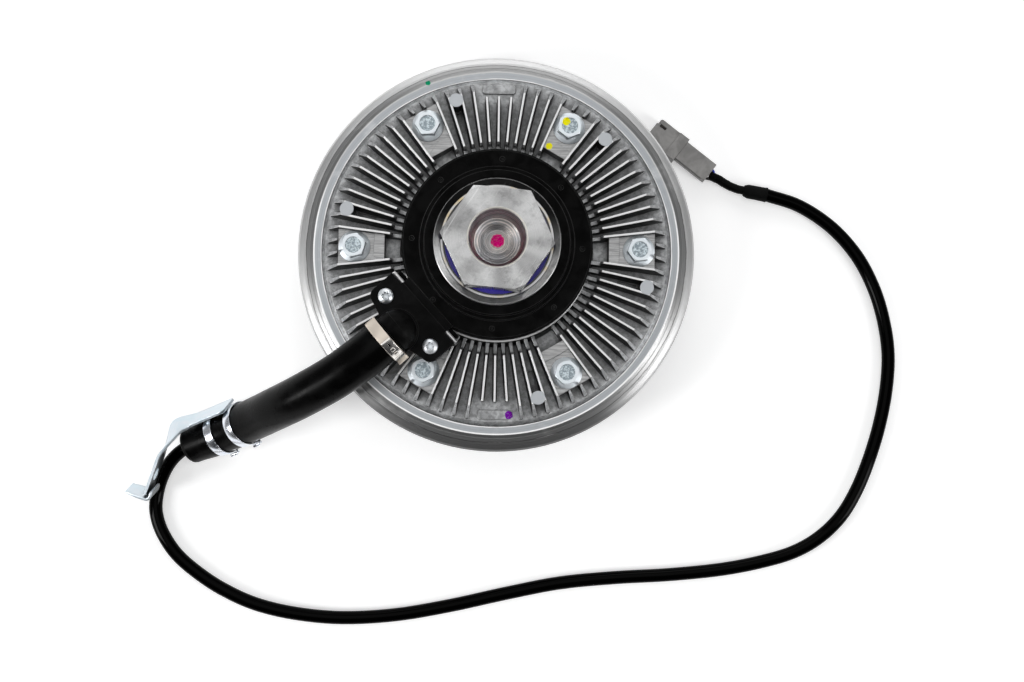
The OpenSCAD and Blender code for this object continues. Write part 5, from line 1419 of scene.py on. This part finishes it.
@dataclass
class SensorCable:
    """Cable over the table, its sleeve, the taped lead and the single wires."""

    sides: int = 24
    steps: int = 6
    plug_reach: float = 3 * MM
    sleeve_len: float = 16.5 * MM
    plug_turn: float = math.radians(143.7)
    plug_rear: Vector = field(default_factory=lambda: mm(154.3, 70.4, 6.8))
    wire_d: float = 2.2 * MM
    lead_radius: float = 3.1 * MM
    lead_growth: float = 0.25 * MM
    tape_pitch: float = 6.5 * MM
    tape_t: float = 0.22 * MM
    sleeve_ahead: Vector = field(default_factory=lambda: Vector((-1.0, 0.15, 0.0)).normalized())

    def start(self) -> Vector:
        """Where the cable leaves the end plug of the hose."""
        ahead = (HOSE_ROUTE[-1] - HOSE_ROUTE[-2]).normalized()
        return HOSE_ROUTE[-1] + self.plug_reach * ahead

    def build(self) -> None:
        """Makes the cable and the lead."""
        path = curve_through([self.start(), *CABLE_ROUTE], self.steps)
        cable = loft("sensor_cable_jacket", tube_rings(path, lambda i, a: CABLE_D / 2, self.sides))
        fit(cable, Palette.CABLE, "sensor_cable")
        carried = [self._sleeve(), self._taped_lead(), *self._wires()]
        carried += [cad(name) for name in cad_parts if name.startswith("connector_")]

    def _sleeve(self) -> Piece:
        """Shrunk sleeve over the end of the cable, with a bevelled mouth and flared lips."""
        begin = CABLE_ROUTE[-1] - 0.4 * MM * self.sleeve_ahead
        wide, small = CABLE_D / 2 + 0.4 * MM, 3.7 * MM
        outline = [(0.0, CABLE_D / 2 + 0.1 * MM), (0.15, wide + 0.3 * MM), (0.9, wide + 0.25 * MM),
                   (2.2, wide + 0.05 * MM), (8.0, wide - 0.05 * MM), (13.6, wide - 0.05 * MM),
                   (14.6, wide - 0.1 * MM), (15.0, wide - 0.35 * MM), (17.1, small + 0.4 * MM),
                   (17.4, small), (17.5, small - 0.6 * MM)]
        path = [begin + step * MM * self.sleeve_ahead for step, _ in outline]

        def radius(index: int, angle: float) -> float:
            """Radius of the sleeve, which is a little wrinkled."""
            wrinkle = 0.06 * MM * math.sin(5 * angle + 1.3 * index) * math.sin(0.7 * index)
            return outline[index][1] + wrinkle

        return fit(loft("shrink_sleeve", tube_rings(path, radius, 40), 25.0), Palette.SLEEVE,
                   "cable_sleeve")

    def _lead_route(self) -> list[Vector]:
        """Points of the taped lead, from the sleeve to just before the plug."""
        ahead = heading(self.plug_turn)
        return [CABLE_ROUTE[-1] + self.sleeve_len * self.sleeve_ahead, mm(174, 61, 5.2),
                mm(167.5, 63.7, 5.2), mm(161.7, 66.8, 6),
                self.plug_rear - 0.9 * MM * ahead + 0.4 * MM * left_of(ahead)]

    def _taped_lead(self) -> Piece:
        """Lead wound with tape, each turn lapping the one before."""
        path = curve_through(self._lead_route(), 24)
        last = len(path) - 1
        travelled = [0.0]
        for a, b in zip(path, path[1:]):
            travelled.append(travelled[-1] + (b - a).length)

        def radius(index: int, angle: float) -> float:
            """Radius with the step of the lapped tape."""
            share = index / last
            lap = (travelled[index] / self.tape_pitch + angle / math.tau) % 1.0
            return self.lead_radius + self.lead_growth * share + self.tape_t * (0.5 - lap)

        return fit(loft("lead_tape_wrap", tube_rings(path, radius, 40), 30.0), Palette.TAPE,
                   "taped_lead")

    def _wires(self) -> list[Piece]:
        """Single wires that fan out of the tape into the plug."""
        ahead = heading(self.plug_turn)
        side = left_of(ahead)
        made = []
        for name, place, finish, replaced in (
                ("wire_upper", -1, Palette.WIRE_BLUE, "lead_wires"),
                ("wire_middle", 0, Palette.WIRE_BLACK, ""), ("wire_lower", 1, Palette.WIRE_BLACK, "")):
            spots = [(-6.0, place * 1.2 + 0.4, 0.0), (-3.5, place * 1.8 + 0.4, 0.2),
                     (-1.4, place * 3.2, 0.5), (0.4, place * 4.0, 0.0), (2.0, place * 4.0, 0.0)]
            path = curve_through([self.plug_rear + x * MM * ahead + y * MM * side + z * MM * UP
                                  for x, y, z in spots], 6)
            wire = loft(name, tube_rings(path, lambda i, a: self.wire_d / 2, 16))
            made.append(fit(wire, finish, replaced))
        return made


@dataclass
class Clutch:
    """The rigid pieces, whose CAD meshes stay."""

    finishes: tuple[tuple[Finish, tuple[str, ...]], ...] = (
        (Palette.CAST_REAR, ("rear_housing",)),
        (Palette.CAST_FRONT, ("front_cover",)),
        (Palette.SEAL, ("rim_seal", "main_bearing_seals")),
        (Palette.DARK_STEEL, ("flux_insert", "tone_ring", "bearing_spacer", "armature_ring")),
        (Palette.BOLT_ZINC, ("fan_bolts",)),
        (Palette.RACE, ("main_bearing_outer_race", "main_bearing_inner_race")),
        (Palette.SPRING_STEEL, ("main_bearing_circlip", "reservoir_cover", "rotor_circlip",
                                "valve_spring", "valve_lever")),
        (Palette.SENSOR_SKIN, ("fluid_wipers", "speed_sensor")),
        (Palette.ZINC, ("fill_plug", "reservoir_rivets")),
        (Palette.SHAFT, ("input_shaft",)),
        (Palette.ROTOR, ("rotor_disc",)),
        (Palette.SHADE_DARK_RACE, ("coil_bearing_inner_race", "coil_bearing_outer_race")),
        (Palette.PIN, ("valve_pivot_pin", "arm_pin")),
        (Palette.CAGE, ("main_bearing_cage", "coil_bearing_cage")),
        (Palette.CHROME, ("main_bearing_balls", "coil_bearing_balls")),
        (Palette.COIL_SKIN, ("coil_housing",)),
        (Palette.COPPER, ("coil_winding",)),
        (Palette.POTTING, ("coil_potting",)),
        (Palette.POLE, ("pole_ring",)),
        (Palette.BLUE_SEAL, ("coil_bearing_seals",)),
        (Palette.BRASSY_CLIP, ("coil_bearing_circlip",)),
        (Palette.ARM_SKIN, ("cable_arm", "cable_elbow")),
        (Palette.SCREW_ZINC, ("arm_screws",)),
        (Palette.GREY_PLASTIC, ("connector_body", "connector_shell")),
        (Palette.ORANGE_PLASTIC, ("connector_wedge",)),
        (Palette.CONTACT, ("connector_contacts",)),
        (Palette.ORANGE_RUBBER, ("connector_seal",)))

    def build(self) -> None:
        """Gives every CAD node its finish."""
        for finish, names in self.finishes:
            for name in names:
                dress(cad(name), finish)
        for name in ("connector_body", "connector_shell", "cable_arm"):
            round_edges(cad(name), 0.4)


def main() -> None:
    """Builds the studio, the cords and every sub-assembly, and reports the pieces."""
    logging.basicConfig(level=logging.INFO, format="%(name)s: %(message)s")
    for part in (Studio(), Tether(), SensorCable(), Clutch()):
        part.build()
        LOG.info("built %s", type(part).__name__)


if __name__ == "__main__":
    main()
